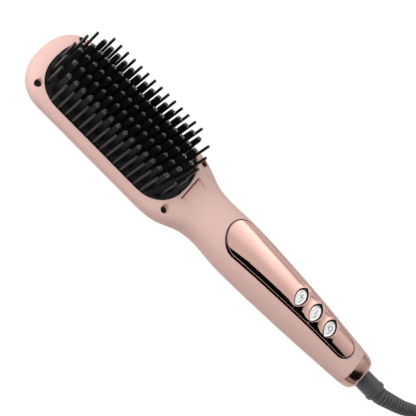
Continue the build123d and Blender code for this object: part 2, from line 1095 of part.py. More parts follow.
def main_board():
    x = board_length / 2
    y = board_width / 2
    board = block(
        (board_at - x, -y, board_height - board_thickness), (board_at + x, y, board_height)
    )
    holes = [column(p, small_screw_radius + pass_fit, -far, far) for p in board_screw_places()]
    return board.cut(*holes)


def film_capacitor():
    return on_board(capacitor_place, capacitor_size)


def power_triac():
    """Power switch device: a block with its metal tab standing up behind."""
    x, y = triac_place
    case = on_board(triac_place, triac_size)
    tab = block(
        (x - triac_size[0] / 2, y - triac_size[1] / 2 - triac_tab, board_height),
        (x + triac_size[0] / 2, y - triac_size[1] / 2, board_height + triac_size[2] + triac_tab),
    )
    return join([case, tab])


def control_chip():
    chips = [on_board(chip_place, chip_size)]
    chips += [on_board(place, small_chip_size) for place in small_chip_places]
    return group(chips)


def board_ribbon():
    """Flat strip of wires from the main board up to the switch board."""
    low_point = button_frame * Pos(0, 0, switch_board_top() - switch_board_thickness)
    base = low_point.position
    rise = (base.X - ribbon_at - ribbon_thickness) * tan(radians(button_slope))
    y = ribbon_width / 2
    return block(
        (ribbon_at, -y, board_height), (ribbon_at + ribbon_thickness, y, base.Z + rise)
    )


def cap_ring(at, grow):
    """Section of the end cap, moved outwards by grow."""
    ease = ((at - seam_at) / (cap_end_at - seam_at)) ** 2
    points = ring_points(
        tail_half_width + (cap_half_width - tail_half_width) * ease + grow,
        tail_top + (cap_top - tail_top) * ease + grow,
        tail_depth + (cap_depth - tail_depth) * ease + grow,
        grip_power,
        range(0, 360, section_turn),
    )
    corners = [Vector(at, *point) for point in points]
    return Wire([Edge.make_spline(corners, periodic=True)])


def cap_body(grow, start, end):
    steps = 4
    return Solid.make_loft(
        [cap_ring(start + (end - start) * step / steps, grow) for step in range(steps + 1)]
    )


def swivel_cylinder(radius, start, end):
    """A cylinder on the swivel's axis."""
    disc = Pos(0, 0, swivel_height) * Rot(0, 90, 0) * Circle(radius)
    return extrude(Pos(start, 0, 0) * disc, amount=end - start)


def end_cap():
    start = seam_at + cap_gap
    shell = cap_body(0, start, cap_end_at)
    rim = shell.edges().filter_by_position(Axis.X, cap_end_at - 0.1, cap_end_at + 0.1)
    shell = shell.fillet(cap_round, rim)
    hollow = cap_body(-cap_wall, start, cap_end_at - cap_end_wall)
    hole = swivel_cylinder(barrel_radius + barrel_cap_gap, start, cap_end_at + 1)
    return shell.cut(hollow, hole)


def flange_end():
    return cap_end_at - cap_end_wall - flange_play


def block_end():
    """Face of the bearing block that the flange runs against."""
    return flange_end() - flange_length - flange_play


def block_start():
    return block_end() - block_length


def bearing_block():
    """Block in the end of the handle that carries the swivel and the cap."""
    inside = body(-wall - block_fit, block_start(), seam_at)
    spigot = cap_body(-cap_wall - block_fit, seam_at, seam_at + spigot_length)
    core = swivel_cylinder(journal_radius + boss_wall, block_start(), block_end())
    bore = swivel_cylinder(journal_radius + journal_fit, block_start() - 1, block_end() + 1)
    return join([inside, spigot, core]).cut(bore)


def swivel_barrel():
    """Turning collar that the cord leaves through, with its journal and slip ring stub."""
    start = block_start() - stub_length
    pieces = [
        swivel_cylinder(stub_radius, start, block_start()),
        swivel_cylinder(journal_radius, block_start(), flange_end() - flange_length),
        swivel_cylinder(flange_radius, flange_end() - flange_length, flange_end()),
        swivel_cylinder(barrel_radius, flange_end(), barrel_end_at),
        swivel_cylinder(barrel_lip_radius, barrel_end_at - barrel_lip_length, barrel_end_at),
    ]
    bore = swivel_cylinder(barrel_bore, barrel_end_at - barrel_bore_depth, barrel_end_at + 1)
    wires = swivel_cylinder(wire_bore, start - 1, barrel_end_at)
    return join(pieces).cut(bore, wires)


def ring_places():
    middle = block_start() - stub_length / 2
    return (middle - ring_spacing / 2, middle + ring_spacing / 2)


def slip_rings():
    rings = []
    for at in ring_places():
        start = at - ring_width / 2
        end = at + ring_width / 2
        rings.append(
            swivel_cylinder(ring_radius, start, end) - swivel_cylinder(stub_radius, start, end)
        )
    return group(rings)


def contact_springs():
    """Two spring leaves on the bearing block that bear on the slip rings."""
    springs = []
    for side, at in zip((1, -1), ring_places()):
        near = swivel_height + side * (ring_radius + spring_thickness)
        away = near + side * spring_thickness
        foot = near + side * spring_foot
        leaf = block(
            (at - ring_width / 2, -spring_width / 2, min(near, away)),
            (block_start(), spring_width / 2, max(near, away)),
        )
        base = block(
            (block_start() - spring_thickness, -spring_width / 2, min(near, foot)),
            (block_start(), spring_width / 2, max(near, foot)),
        )
        springs.append(join([leaf, base]))
    return group(springs)


def route(points, radii):
    """A path of straight runs joined by tangent arcs."""
    return FilletPolyline(*points, radius=radii)


def bend_radii(points, share=0.45):
    """For each corner, the arc that takes this share of its shorter run."""
    radii = []
    for before, corner, after in zip(points, points[1:], points[2:]):
        first = Vector(*corner) - Vector(*before)
        second = Vector(*after) - Vector(*corner)
        turn = radians(first.get_angle(second))
        radii.append(share * min(first.length, second.length) / tan(turn / 2))
    return radii


def tube(points, radius, radii):
    path = route(points, radii)
    section = Plane(origin=path @ 0, z_dir=path % 0) * Circle(radius)
    return sweep(section, path=path)


def lead_pair(points, radius, bend):
    """A wire and its twin on the other side."""
    return group(mirrored(tube(points, radius, [bend] * (len(points) - 2))))


def board_ends():
    return board_at - board_length / 2, board_at + board_length / 2


def heater_leads():
    start = opening_at + heater_length / 2
    low = heater_bottom + heater_wire_radius
    beside = ion_block_width / 2 + heater_wire_clearance
    board_start = board_ends()[0]
    wide, near = heater_wire_offsets
    points = (
        (start, heater_offset, low),
        (start + heater_wire_slack, heater_offset, low),
        (slit_at, beside, low - heater_wire_drop),
        (neck_at + heater_wire_run, beside, low - heater_wire_drop),
        (board_start - heater_wire_slack, wide, heater_wire_height),
        (board_start + heater_wire_inset, near, heater_wire_height),
        (board_start + heater_wire_inset, near, board_height),
    )
    return lead_pair(points, heater_wire_radius, 2 * heater_wire_radius)


def ion_leads():
    start = ion_block_at + ion_block_length / 2 + ion_wire_joint
    board_start = board_ends()[0]
    near, middle, wide = ion_wire_offsets
    low, higher, high = ion_wire_heights
    points = (
        (start, near, low),
        (start + ion_wire_slack, middle, low),
        (board_start - ion_wire_slack, wide, higher),
        (board_start + ion_wire_inset, wide, high),
        (board_start + ion_wire_inset, wide, board_height),
    )
    return lead_pair(points, ion_wire_radius, 2 * ion_wire_radius)


def supply_leads():
    board_end = board_ends()[1]
    near, wide = supply_wire_offsets
    points = (
        (board_end - supply_wire_inset, near, board_height),
        (board_end - supply_wire_inset, near, supply_wire_height),
        (board_end + supply_wire_slack, wide, supply_wire_height),
        (block_start() - supply_wire_slack, wide, swivel_height),
        (block_start(), wide, swivel_height),
    )
    return lead_pair(points, supply_wire_radius, 2 * supply_wire_radius)


def strain_relief():
    """Ribbed boot: a tapered core on a bent path with a ring at each pitch."""
    path = route(boot_points, list(boot_bend_radii))
    length = path.length
    drop = boot_start_radius - boot_end_radius

    def disc(along, radius):
        share = along / length
        return Plane(origin=path @ share, z_dir=path % share) * Circle(radius)

    rings = []
    count = int((length - boot_rib_width) / boot_rib_pitch) + 1
    for step in range(count):
        along = step * boot_rib_pitch
        radius = boot_start_radius - drop * along / length
        rings.append(extrude(disc(along, radius), amount=boot_rib_width))
    sections = []
    for step in range(boot_sections + 1):
        along = length * step / boot_sections
        radius = boot_start_radius - drop * step / boot_sections - boot_rib_depth
        sections.append(disc(along, radius).wire())
    core = Solid.make_loft(sections)
    stem = swivel_cylinder(
        barrel_bore - boot_stem_gap, barrel_end_at - barrel_bore_depth + 1, boot_points[0][0]
    )
    return join([core, stem, *rings])


def coil_radii():
    pitch = 2 * cord_radius + coil_gap
    half = pitch * (coil_columns - 1) / 2 + cord_radius
    return coil_mean_radius - half, coil_mean_radius + half


def coil_height():
    pitch = 2 * cord_radius + coil_gap
    return pitch * (coil_layers - 1) + 2 * cord_radius


def coil_bottom():
    return -rest_depth + coil_lift


def coil_ring(grow=0.0):
    """Outer shape of the wound turns."""
    inner, outer = coil_radii()
    low = coil_bottom() - grow
    high = coil_bottom() + coil_height() + grow
    return column(coil_at, outer + grow, low, high) - column(coil_at, inner - grow, low, high)


def coil_point(turn, height):
    return (
        coil_at[0] + coil_mean_radius * cos(radians(turn)),
        coil_at[1] + coil_mean_radius * sin(radians(turn)),
        height,
    )


def tail_points():
    """Route of the cord's end over the coil and into the plug."""
    top = coil_bottom() + coil_height()
    points = []
    for step in range(tail_steps):
        climb = min(step, 2) / 2
        height = top - cord_radius + 2 * cord_radius * climb + coil_gap
        if step == tail_steps - 1:
            height = top + plug_thickness / 2
        points.append(coil_point(tail_start_turn - step * tail_step_turn, height))
    points.append((*tail_end, top + plug_thickness / 2))
    return points


def cord_coil():
    points = tail_points()
    tail = tube(points, cord_radius, bend_radii(points))
    return join([coil_ring(), tail])


def cord():
    radii = bend_radii(cord_points)
    run = tube(cord_points, cord_radius, radii)
    expected = pi * cord_radius**2 * route(cord_points, radii).length
    print("cord bend radii", [round(radius, 1) for radius in radii])
    print("cord volume", round(run.volume, 1), "section times length", round(expected, 1))
    tail = tail_points()
    print("tail bend radii", [round(radius, 1) for radius in bend_radii(tail)])
    return run - coil_ring()


def coil_tie():
    """Strap round the turns of the coil."""
    inner, outer = coil_radii()
    strap = block(
        (inner - tie_thickness, -tie_width / 2, -tie_thickness),
        (outer + tie_thickness, tie_width / 2, coil_height() + tie_thickness),
    )
    place = Pos(coil_at[0], coil_at[1], coil_bottom()) * Rot(0, 0, tie_turn)
    return (place * strap) - coil_ring()


def plug_rear():
    """Plane where the cord enters the plug, facing out of the plug along the cord."""
    *_, before, end = tail_points()
    away = Vector(before[0] - end[0], before[1] - end[1], before[2] - end[2])
    return Plane(origin=end, x_dir=(-away.Y, away.X, 0), z_dir=away)


def plug_body():
    """Flat two-pin plug lying on the coil, in line with the cord's end."""
    rear = plug_rear()
    face = rear.offset(-plug_neck_length)
    neck = extrude(rear * Circle(plug_neck_radius), amount=-plug_neck_length)
    outline = RectangleRounded(plug_width, plug_thickness, plug_corner)
    case = extrude(face * outline, amount=-plug_length)
    front = face.offset(-plug_length)
    holes = [
        extrude(front * Pos(x, 0) * Circle(plug_pin_radius), amount=plug_pin_sink)
        for x in (-pin_spacing / 2, pin_spacing / 2)
    ]
    return join([case, neck]).cut(*holes)


def plug_pins():
    front = plug_rear().offset(-plug_neck_length - plug_length + plug_pin_sink)
    length = plug_pin_length + plug_pin_sink
    return group(
        extrude(front * Pos(x, 0) * Circle(plug_pin_radius), amount=-length)
        for x in (-pin_spacing / 2, pin_spacing / 2)
    )


left_pins = [(at, side_pin_offset) for at in side_pin_places()]
right_pins = [(at, -side_pin_offset) for at in side_pin_places()]
nodes = {
    "front_cover": front_cover(),
    "back_cover": back_cover(),
    "brush_plate": brush_plate(),
    "cool_pins_left": pin_group(left_pins),
    "cool_pins_right": pin_group(right_pins),
    "cool_pins_head": pin_group(end_pin_places(-1)),
    "cool_pins_neck": pin_group(end_pin_places(1)),
    "blade_tips": blade_tips(),
    "heating_plate": heating_plate(),
    "heater_frame": heater_frame(),
    "heating_elements": heating_elements(),
    "insulation_sheet": insulation_sheet(),
    "heater_clamp": heater_clamp(),
    "frame_screws": frame_screws(),
    "thermistor": thermistor(),
    "thermal_fuse": thermal_fuse(),
    "case_screws": case_screws(),
    "handle_screws": handle_screws(),
    "vent_grille": vent_grille(),
    "ion_generator": ion_generator(),
    "ion_needle": ion_needle(),
    "main_board": main_board(),
    "film_capacitor": film_capacitor(),
    "power_triac": power_triac(),
    "control_chip": control_chip(),
    "board_screws": board_screws(),
    "switch_board": switch_board(),
    "tact_switches": tact_switches(),
    "button_lamps": button_lamps(),
    "board_ribbon": board_ribbon(),
    "control_panel": control_panel(),
    "panel_bezel": panel_bezel(),
    "end_cap": end_cap(),
    "bearing_block": bearing_block(),
    "swivel_barrel": swivel_barrel(),
    "slip_rings": slip_rings(),
    "contact_springs": contact_springs(),
    "heater_leads": heater_leads(),
    "ion_leads": ion_leads(),
    "supply_leads": supply_leads(),
    "strain_relief": strain_relief(),
    "cord": cord(),
    "cord_coil": cord_coil(),
    "coil_tie": coil_tie(),
    "plug_body": plug_body(),
    "plug_pins": plug_pins(),
}
for number, row in enumerate(blade_rows(), start=1):
    nodes[f"blade_row_{number}"] = blade_row(row)
for number, name in enumerate(("plus", "minus", "power")):
    nodes[f"button_{name}"] = button(number)
    nodes[f"plunger_{name}"] = plunger(number)

# The part's own frame: origin under the middle of the brush, on the surface it rests on.
place = Location((-half_length, 0, rest_depth))
for name, shape in nodes.items():
    export_step(place * shape, f"parts/{name}.step")
print("nodes", len(nodes))
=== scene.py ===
import json
from math import atan2, cos, pi, radians, sin

import bmesh
import bpy
from bpy.props import FloatProperty, FloatVectorProperty, PointerProperty
from mathutils import Matrix, Vector

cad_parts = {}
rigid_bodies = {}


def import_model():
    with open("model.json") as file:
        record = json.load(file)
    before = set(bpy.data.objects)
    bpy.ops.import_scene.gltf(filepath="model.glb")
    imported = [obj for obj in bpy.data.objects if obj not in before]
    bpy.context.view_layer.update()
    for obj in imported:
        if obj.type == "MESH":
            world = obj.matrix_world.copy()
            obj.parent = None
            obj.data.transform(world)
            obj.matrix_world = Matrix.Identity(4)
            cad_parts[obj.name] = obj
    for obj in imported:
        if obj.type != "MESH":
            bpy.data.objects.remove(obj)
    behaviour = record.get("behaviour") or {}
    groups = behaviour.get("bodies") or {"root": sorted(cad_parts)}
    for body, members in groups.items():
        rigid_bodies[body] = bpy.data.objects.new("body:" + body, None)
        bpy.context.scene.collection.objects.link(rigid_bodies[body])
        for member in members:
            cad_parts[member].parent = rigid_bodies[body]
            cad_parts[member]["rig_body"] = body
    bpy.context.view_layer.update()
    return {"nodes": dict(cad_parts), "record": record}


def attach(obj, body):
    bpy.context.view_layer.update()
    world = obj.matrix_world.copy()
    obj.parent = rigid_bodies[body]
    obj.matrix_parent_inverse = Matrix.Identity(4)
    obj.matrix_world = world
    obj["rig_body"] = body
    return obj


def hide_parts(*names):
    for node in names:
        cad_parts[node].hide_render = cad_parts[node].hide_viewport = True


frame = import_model()

bl_info = {
    "name": "Hair straightener brush",
    "version": (1, 0, 0),
    "blender": (4, 5, 0),
    "location": "View3D > Sidebar > Brush",
    "description": "Dresses the hair straightener brush and sets up its studio",
    "category": "Object",
}

MM = 0.001
WHITE = (1.0, 1.0, 1.0, 1.0)


# ---------------------------------------------------------------- settings


class StudioSettings(bpy.types.PropertyGroup):
    """The camera and the light."""

    camera_place: FloatVectorProperty(
        name="Camera place",
        description="Where the camera stands",
        default=(-0.12067, -0.37679, 0.65143),
        subtype="TRANSLATION",
        unit="LENGTH",
    )
    camera_turn: FloatVectorProperty(
        name="Camera turn",
        description="How the camera is turned",
        default=(0.3073995, -0.4733832, 0.6793735),
        subtype="EULER",
    )
    lens: FloatProperty(
        name="Lens", description="Focal length in millimetres", default=107.44, unit="CAMERA"
    )
    room_light: FloatProperty(
        name="Room light", description="Strength of the light from all round", default=0.36
    )
    key_power: FloatProperty(
        name="Key light", description="Power of the large soft light", default=6.4, unit="POWER"
    )


class HousingSettings(bpy.types.PropertyGroup):
    """The soft-touch housing."""

    colour: FloatVectorProperty(
        name="Colour",
        description="Pink of the two shells",
        default=(0.83, 0.55, 0.495, 1.0),
        subtype="COLOR",
        size=4,
        min=0,
        max=1,
    )
    grain_scale: FloatProperty(
        name="Grain scale", description="Grains of the soft coating per metre", default=2600.0
    )
    grain_depth: FloatProperty(
        name="Grain depth", description="Depth of the coating's grain", default=0.00001, unit="LENGTH"
    )


class HeadSettings(bpy.types.PropertyGroup):
    """The brush plate and its bristles."""

    plate_colour: FloatVectorProperty(
        name="Plate colour",
        description="Black of the brush plate",
        default=(0.007, 0.007, 0.008, 1.0),
        subtype="COLOR",
        size=4,
        min=0,
        max=1,
    )
    bristle_colour: FloatVectorProperty(
        name="Bristle colour",
        description="Black of the pins and blades",
        default=(0.010, 0.010, 0.011, 1.0),
        subtype="COLOR",
        size=4,
        min=0,
        max=1,
    )
    pin_radius: FloatProperty(
        name="Pin radius", description="Radius of the stem of a cool pin", default=0.00092,
        unit="LENGTH",
    )


class PanelSettings(bpy.types.PropertyGroup):
    """The metallised control panel and end cap."""

    colour: FloatVectorProperty(
        name="Rose gold",
        description="Colour of the metallised pieces",
        default=(0.80, 0.497, 0.43, 1.0),
        subtype="COLOR",
        size=4,
        min=0,
        max=1,
    )
    mark_height: FloatProperty(
        name="Mark height", description="How far a button's mark stands up", default=0.00012,
        unit="LENGTH",
    )
    mark_width: FloatProperty(
        name="Mark width", description="Width of a stroke of a mark", default=0.00042, unit="LENGTH"
    )


class CordSettings(bpy.types.PropertyGroup):
    """The mains cord."""

    diameter: FloatProperty(
        name="Diameter", description="Outside diameter of the cord", default=0.0056, unit="LENGTH"
    )
    length: FloatProperty(
        name="Length", description="Free length of the cord", default=1.7, unit="LENGTH"
    )
    strand_pitch: FloatProperty(
        name="Strand pitch", description="Distance between strands", default=0.0058, unit="LENGTH"
    )
    coil_place: FloatVectorProperty(
        name="Coil place",
        description="Middle of the coil, with its lowest strand's height",
        default=(0.234, 0.020, 0.0036),
        subtype="TRANSLATION",
        unit="LENGTH",
    )
    coil_radius: FloatProperty(
        name="Coil radius", description="Radius of the middle strand", default=0.031, unit="LENGTH"
    )


def settings(name):
    return getattr(bpy.context.scene, "brush_" + name)


# ---------------------------------------------------------------- material groups

GROUP_OUTPUTS = (("Colour", "Color", None), ("Roughness", "Float", None), ("Normal", "Vector", None))


def sockets(group, direction, rows):
    """Named sockets of a node group, each with its kind and default."""
    for name, kind, value in rows:
        socket = group.interface.new_socket(name, in_out=direction, socket_type="NodeSocket" + kind)
        if value is not None:
            socket.default_value = value


def bare_tree(holder):
    """Gives a material or world an empty node tree."""
    holder.use_nodes = True
    holder.node_tree.nodes.clear()
    return holder.node_tree


def link(tree, source, target):
    tree.links.new(source, target)


def node(tree, kind, **values):
    made = tree.nodes.new(kind)
    for name, value in values.items():
        setattr(made, name, value)
    return made


def math_node(tree, operation, first, second):
    """A Math node whose inputs are sockets or numbers."""
    made = node(tree, "ShaderNodeMath", operation=operation)
    for index, value in enumerate((first, second)):
        if isinstance(value, (int, float)):
            made.inputs[index].default_value = value
        else:
            link(tree, value, made.inputs[index])
    return made.outputs[0]


def mix_colours(tree, share, first, second):
    """A Mix node for colours."""
    made = node(tree, "ShaderNodeMix", data_type="RGBA")
    for socket, value in ((made.inputs[0], share), (made.inputs[6], first), (made.inputs[7], second)):
        if isinstance(value, bpy.types.NodeSocket):
            link(tree, value, socket)
        else:
            socket.default_value = value
    return made.outputs[2]


def mix_shaders(tree, share, first, second):
    """A Mix Shader node between two shader nodes."""
    made = node(tree, "ShaderNodeMixShader")
    for index, source in enumerate((share, first.outputs[0], second.outputs[0])):
        link(tree, source, made.inputs[index])
    return made.outputs[0]


def surface_grain_group():
    """Fine grain of a moulded or coated surface, with a slow change of tint and gloss."""
    group = bpy.data.node_groups.new("Surface grain", "ShaderNodeTree")
    sockets(
        group,
        "INPUT",
        (
            ("Colour", "Color", WHITE),
            ("Second colour", "Color", WHITE),
            ("Roughness", "Float", 0.5),
            ("Roughness change", "Float", 0.05),
            ("Grain scale", "Float", 2000.0),
            ("Grain depth", "Float", 0.00001),
            ("Blotch scale", "Float", 60.0),
        ),
    )
    sockets(group, "OUTPUT", GROUP_OUTPUTS)
    into = node(group, "NodeGroupInput")
    out = node(group, "NodeGroupOutput")
    place = node(group, "ShaderNodeTexCoord")
    grain = node(group, "ShaderNodeTexNoise")
    grain.inputs["Detail"].default_value = 2.0
    link(group, place.outputs["Object"], grain.inputs["Vector"])
    link(group, into.outputs["Grain scale"], grain.inputs["Scale"])
    blotch = node(group, "ShaderNodeTexNoise")
    blotch.inputs["Detail"].default_value = 3.0
    link(group, place.outputs["Object"], blotch.inputs["Vector"])
    link(group, into.outputs["Blotch scale"], blotch.inputs["Scale"])
    tint = mix_colours(
        group, blotch.outputs["Fac"], into.outputs["Colour"], into.outputs["Second colour"]
    )
    link(group, tint, out.inputs["Colour"])
    swing = math_node(group, "SUBTRACT", blotch.outputs["Fac"], 0.5)
    swing = math_node(group, "MULTIPLY", swing, into.outputs["Roughness change"])
    link(
        group, math_node(group, "ADD", swing, into.outputs["Roughness"]), out.inputs["Roughness"]
    )
    bump = node(group, "ShaderNodeBump")
    link(group, into.outputs["Grain depth"], bump.inputs["Distance"])
    link(group, grain.outputs["Fac"], bump.inputs["Height"])
    link(group, bump.outputs["Normal"], out.inputs["Normal"])
    return group


def drawn_lines_group():
    """Fine lines along one axis, as rolling, drawing or brushing leaves on metal."""
    group = bpy.data.node_groups.new("Drawn lines", "ShaderNodeTree")
    sockets(
        group,
        "INPUT",
        (
            ("Colour", "Color", WHITE),
            ("Roughness", "Float", 0.3),
            ("Stretch", "Vector", (60.0, 4000.0, 4000.0)),
            ("Line depth", "Float", 0.00001),
        ),
    )
    sockets(group, "OUTPUT", GROUP_OUTPUTS)
    into = node(group, "NodeGroupInput")
    out = node(group, "NodeGroupOutput")
    place = node(group, "ShaderNodeTexCoord")
    stretch = node(group, "ShaderNodeVectorMath", operation="MULTIPLY")
    link(group, place.outputs["Object"], stretch.inputs[0])
    link(group, into.outputs["Stretch"], stretch.inputs[1])
    lines = node(group, "ShaderNodeTexNoise")
    lines.inputs["Scale"].default_value = 1.0
    lines.inputs["Detail"].default_value = 3.0
    link(group, stretch.outputs[0], lines.inputs["Vector"])
    dark = math_node(group, "MULTIPLY", lines.outputs["Fac"], 0.25)
    link(group, mix_colours(group, dark, into.outputs["Colour"], (0.1, 0.1, 0.1, 1.0)),
         out.inputs["Colour"])
    rough = math_node(group, "MULTIPLY", lines.outputs["Fac"], 0.2)
    link(group, math_node(group, "ADD", rough, into.outputs["Roughness"]), out.inputs["Roughness"])
    bump = node(group, "ShaderNodeBump")
    link(group, into.outputs["Line depth"], bump.inputs["Distance"])
    link(group, lines.outputs["Fac"], bump.inputs["Height"])
    link(group, bump.outputs["Normal"], out.inputs["Normal"])
    return group


def new_material(name):
    """A material with its tree and Principled shader. A plain one of that name is renamed."""
    plain = bpy.data.materials.get(name)
    if plain:
        plain.name = name + "_plain"
    material = bpy.data.materials.new(name)
    material.use_nodes = True
    tree = material.node_tree
    return material, tree, tree.nodes["Principled BSDF"]


def use_group(tree, shader, group, values):
    """Places a shared group in a material with the material's own values."""
    made = node(tree, "ShaderNodeGroup", node_tree=group)
    for name, value in values.items():
        made.inputs[name].default_value = value
    for name, target in (("Colour", "Base Color"), ("Roughness", "Roughness"), ("Normal", "Normal")):
        link(tree, made.outputs[name], shader.inputs[target])
    return made


def grained(name, colour, second, roughness, change=0.06, grain=2000.0, depth=0.00001,
            blotch=60.0, metallic=0.0, coat=0.0, sheen=0.0, specular=0.5):
    """A moulded, coated or cast finish."""
    material, tree, shader = new_material(name)
    shader.inputs["Metallic"].default_value = metallic
    shader.inputs["Coat Weight"].default_value = coat
    shader.inputs["Sheen Weight"].default_value = sheen
    shader.inputs["Specular IOR Level"].default_value = specular
    use_group(
        tree,
        shader,
        bpy.data.node_groups["Surface grain"],
        {
            "Colour": (*colour[:3], 1.0),
            "Second colour": (*second[:3], 1.0),
            "Roughness": roughness,
            "Roughness change": change,
            "Grain scale": grain,
            "Grain depth": depth,
            "Blotch scale": blotch,
        },
    )
    return material


def drawn(name, colour, roughness, stretch=(60.0, 4000.0, 4000.0), depth=0.00001):
    """A rolled or brushed metal finish."""
    material, tree, shader = new_material(name)
    shader.inputs["Metallic"].default_value = 1.0
    use_group(
        tree,
        shader,
        bpy.data.node_groups["Drawn lines"],
        {"Colour": (*colour, 1.0), "Roughness": roughness, "Stretch": stretch, "Line depth": depth},
    )
    return material


def scaled(colour, factor):
    return tuple(min(1.0, value * factor) for value in colour[:3])


# ---------------------------------------------------------------- pieces

# Points closer to a pin's middle line than this share of its radius are the top of its tip
TIP_SHARE = 0.6


def placed(name, data):
    """An object in the scene that shows a mesh, curve, lamp or camera."""
    thing = bpy.data.objects.new(name, data)
    bpy.context.scene.collection.objects.link(thing)
    return thing


def mesh_of(name, shape):
    """A mesh from a bmesh, which is freed."""
    mesh = bpy.data.meshes.new(name)
    shape.to_mesh(mesh)
    shape.free()
    return mesh


def even_shading(piece):
    """Lets the large faces of a piece set the shading of the small ones beside them."""
    weighted = piece.modifiers.new("Even shading", "WEIGHTED_NORMAL")
    weighted.keep_sharp = True


def islands(shape):
    """The verts of each loose piece of a mesh."""
    left = set(shape.verts)
    while left:
        found = [left.pop()]
        for vert in found:
            for edge in vert.link_edges:
                other = edge.other_vert(vert)
                if other in left:
                    left.remove(other)
                    found.append(other)
        yield found


def thicken_pins(shape, radius):
    """Widens each upright pin to a radius, apart from the middle of its tip, so that it ends bluntly."""
    for pin in islands(shape):
        across = [vert.co.x for vert in pin]
        along = [vert.co.y for vert in pin]
        middle = Vector(((min(across) + max(across)) / 2, (min(along) + max(along)) / 2, 0.0))
        for vert in pin:
            arm = Vector((vert.co.x - middle.x, vert.co.y - middle.y, 0.0))
            if TIP_SHARE * radius < arm.length < radius:
                vert.co += arm * (radius / arm.length - 1.0)


def merged_copy(name, finish, sharp=32.0, slot=None, pin_radius=0.0):
    """A node's own mesh with its triangles joined and its curved faces shaded smooth."""
    mesh = frame["nodes"][name].data.copy()
    shape = bmesh.new()
    shape.from_mesh(mesh)
    bmesh.ops.remove_doubles(shape, verts=shape.verts, dist=1e-6)
    if pin_radius:
        thicken_pins(shape, pin_radius)
    for face in shape.faces:
        face.smooth = True
    shape.to_mesh(mesh)
    shape.free()
    mesh.set_sharp_from_angle(angle=radians(sharp))
    mesh.name = name + "_finish"
    mesh.materials.clear()
    mesh.materials.append(bpy.data.materials[finish])
    piece = placed(name + "_finish", mesh)
    even_shading(piece)
    return settle(piece, slot or finish, name)


def settle(piece, slot, *names, body=None):
    """Rides a piece on its body and lets it stand for its nodes. The slot it is given is not used."""
    if body is None:
        body = frame["nodes"][names[0]]["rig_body"]
    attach(piece, body)
    if names:
        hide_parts(*names)
    return piece


def new_piece(name, shape, finish):
    """An object from a bmesh, with its faces pointing outwards."""
    bmesh.ops.recalc_face_normals(shape, faces=shape.faces)
    mesh = mesh_of(name, shape)
    mesh.materials.append(bpy.data.materials[finish])
    return placed(name, mesh)


# ---------------------------------------------------------------- shape of the handle

# In millimetres: distance from the tip of the head, and height over the body's axis
TIP_AT = -147.0
AXIS_HEIGHT = 13.0
TOPS = ((129.0, 12.2), (153.0, 14.8), (176.0, 15.9), (215.0, 14.7), (270.3, 9.4))
HALVES = ((110.0, 27.5), (142.0, 17.4), (168.0, 18.5), (215.0, 16.7), (270.3, 12.9))
POWERS = ((142.0, 2.6), (176.0, 2.25))
PANEL_RISE = 0.7
PANEL_CIRCLES = ((165.2, 12.5), (255.3, 7.0))
BUTTON_AT = 227.3
BUTTON_PITCH = 13.6
BUTTON_HALF_LENGTH = 7.2
BUTTON_HALF_WIDTH = 4.2
BUTTONS = ((-1, "plus"), (0, "minus"), (1, "power"))


def smooth(stations, at):
    """Value at a place on the monotone cubic through (place, value) stations."""
    places = [place for place, _ in stations]
    values = [value for _, value in stations]
    if at <= places[0]:
        return values[0]
    if at >= places[-1]:
        return values[-1]
    spans = [b - a for a, b in zip(places, places[1:])]
    rises = [(b - a) / span for a, b, span in zip(values, values[1:], spans)]
    slopes = [0.0]
    for before, after in zip(rises, rises[1:]):
        slopes.append(0.0 if before * after <= 0 else 2 * before * after / (before + after))
    slopes.append(rises[-1])
    index = max(i for i, place in enumerate(places[:-1]) if place <= at)
    span = spans[index]
    part = (at - places[index]) / span
    return (
        values[index] * (1 + 2 * part) * (1 - part) ** 2
        + values[index + 1] * part**2 * (3 - 2 * part)
        + slopes[index] * span * part * (1 - part) ** 2
        - slopes[index + 1] * span * part**2 * (1 - part)
    )


def ease(value, start, end):
    """Smooth step from 0 at start to 1 at end."""
    share = min(1.0, max(0.0, (value - start) / (end - start)))
    return share * share * (3 - 2 * share)


def handle_height(at, across, rise=0.0):
    """Height of the handle's top surface over the axis."""
    power = smooth(POWERS, at)
    reach = min(0.999, abs(across) / (smooth(HALVES, at) + rise))
    return (smooth(TOPS, at) + rise) * (1 - reach**power) ** (1 / power)


def to_frame(at, across, height):
    """A point of the handle in the frame's metres."""
    return Vector(((at + TIP_AT) * MM, across * MM, (height + AXIS_HEIGHT) * MM))


def panel_half_width(at, grow=0.0):
    """Half width of the control panel: two circles and their common tangents."""
    (start, big), (end, small) = PANEL_CIRCLES
    big += grow
    small += grow
    lean = (big - small) / (end - start)
    level = (1 - lean * lean) ** 0.5
    near = start + big * lean
    far = end + small * lean
    if at < near:
        return max(0.0, big * big - (at - start) ** 2) ** 0.5
    if at > far:
        return max(0.0, small * small - (at - end) ** 2) ** 0.5
    return big * level + (small - big) * level * (at - near) / (far - near)


def almond_distance(along, across):
    """How far a point is outside a button's outline, in millimetres."""
    bulge = BUTTON_HALF_WIDTH
    radius = (BUTTON_HALF_LENGTH**2 + bulge**2) / (2 * bulge)
    return ((abs(along) + radius - bulge) ** 2 + across**2) ** 0.5 - radius


def button_turn():
    """Slope of the handle at the buttons, in radians."""
    fall = smooth(TOPS, BUTTON_AT - BUTTON_PITCH) - smooth(TOPS, BUTTON_AT + BUTTON_PITCH)
    return atan2(fall, 2 * BUTTON_PITCH)


def button_matrix(step):
    """Frame of a button: X along the handle, Z out of the panel, in metres."""
    turn = button_turn()
    middle = to_frame(BUTTON_AT, 0.0, smooth(TOPS, BUTTON_AT) + PANEL_RISE)
    along = Vector((cos(turn), 0.0, -sin(turn)))
    return Matrix.Translation(middle + along * step * BUTTON_PITCH * MM) @ Matrix.Rotation(
        turn, 4, "Y"
    )


# ---------------------------------------------------------------- stage

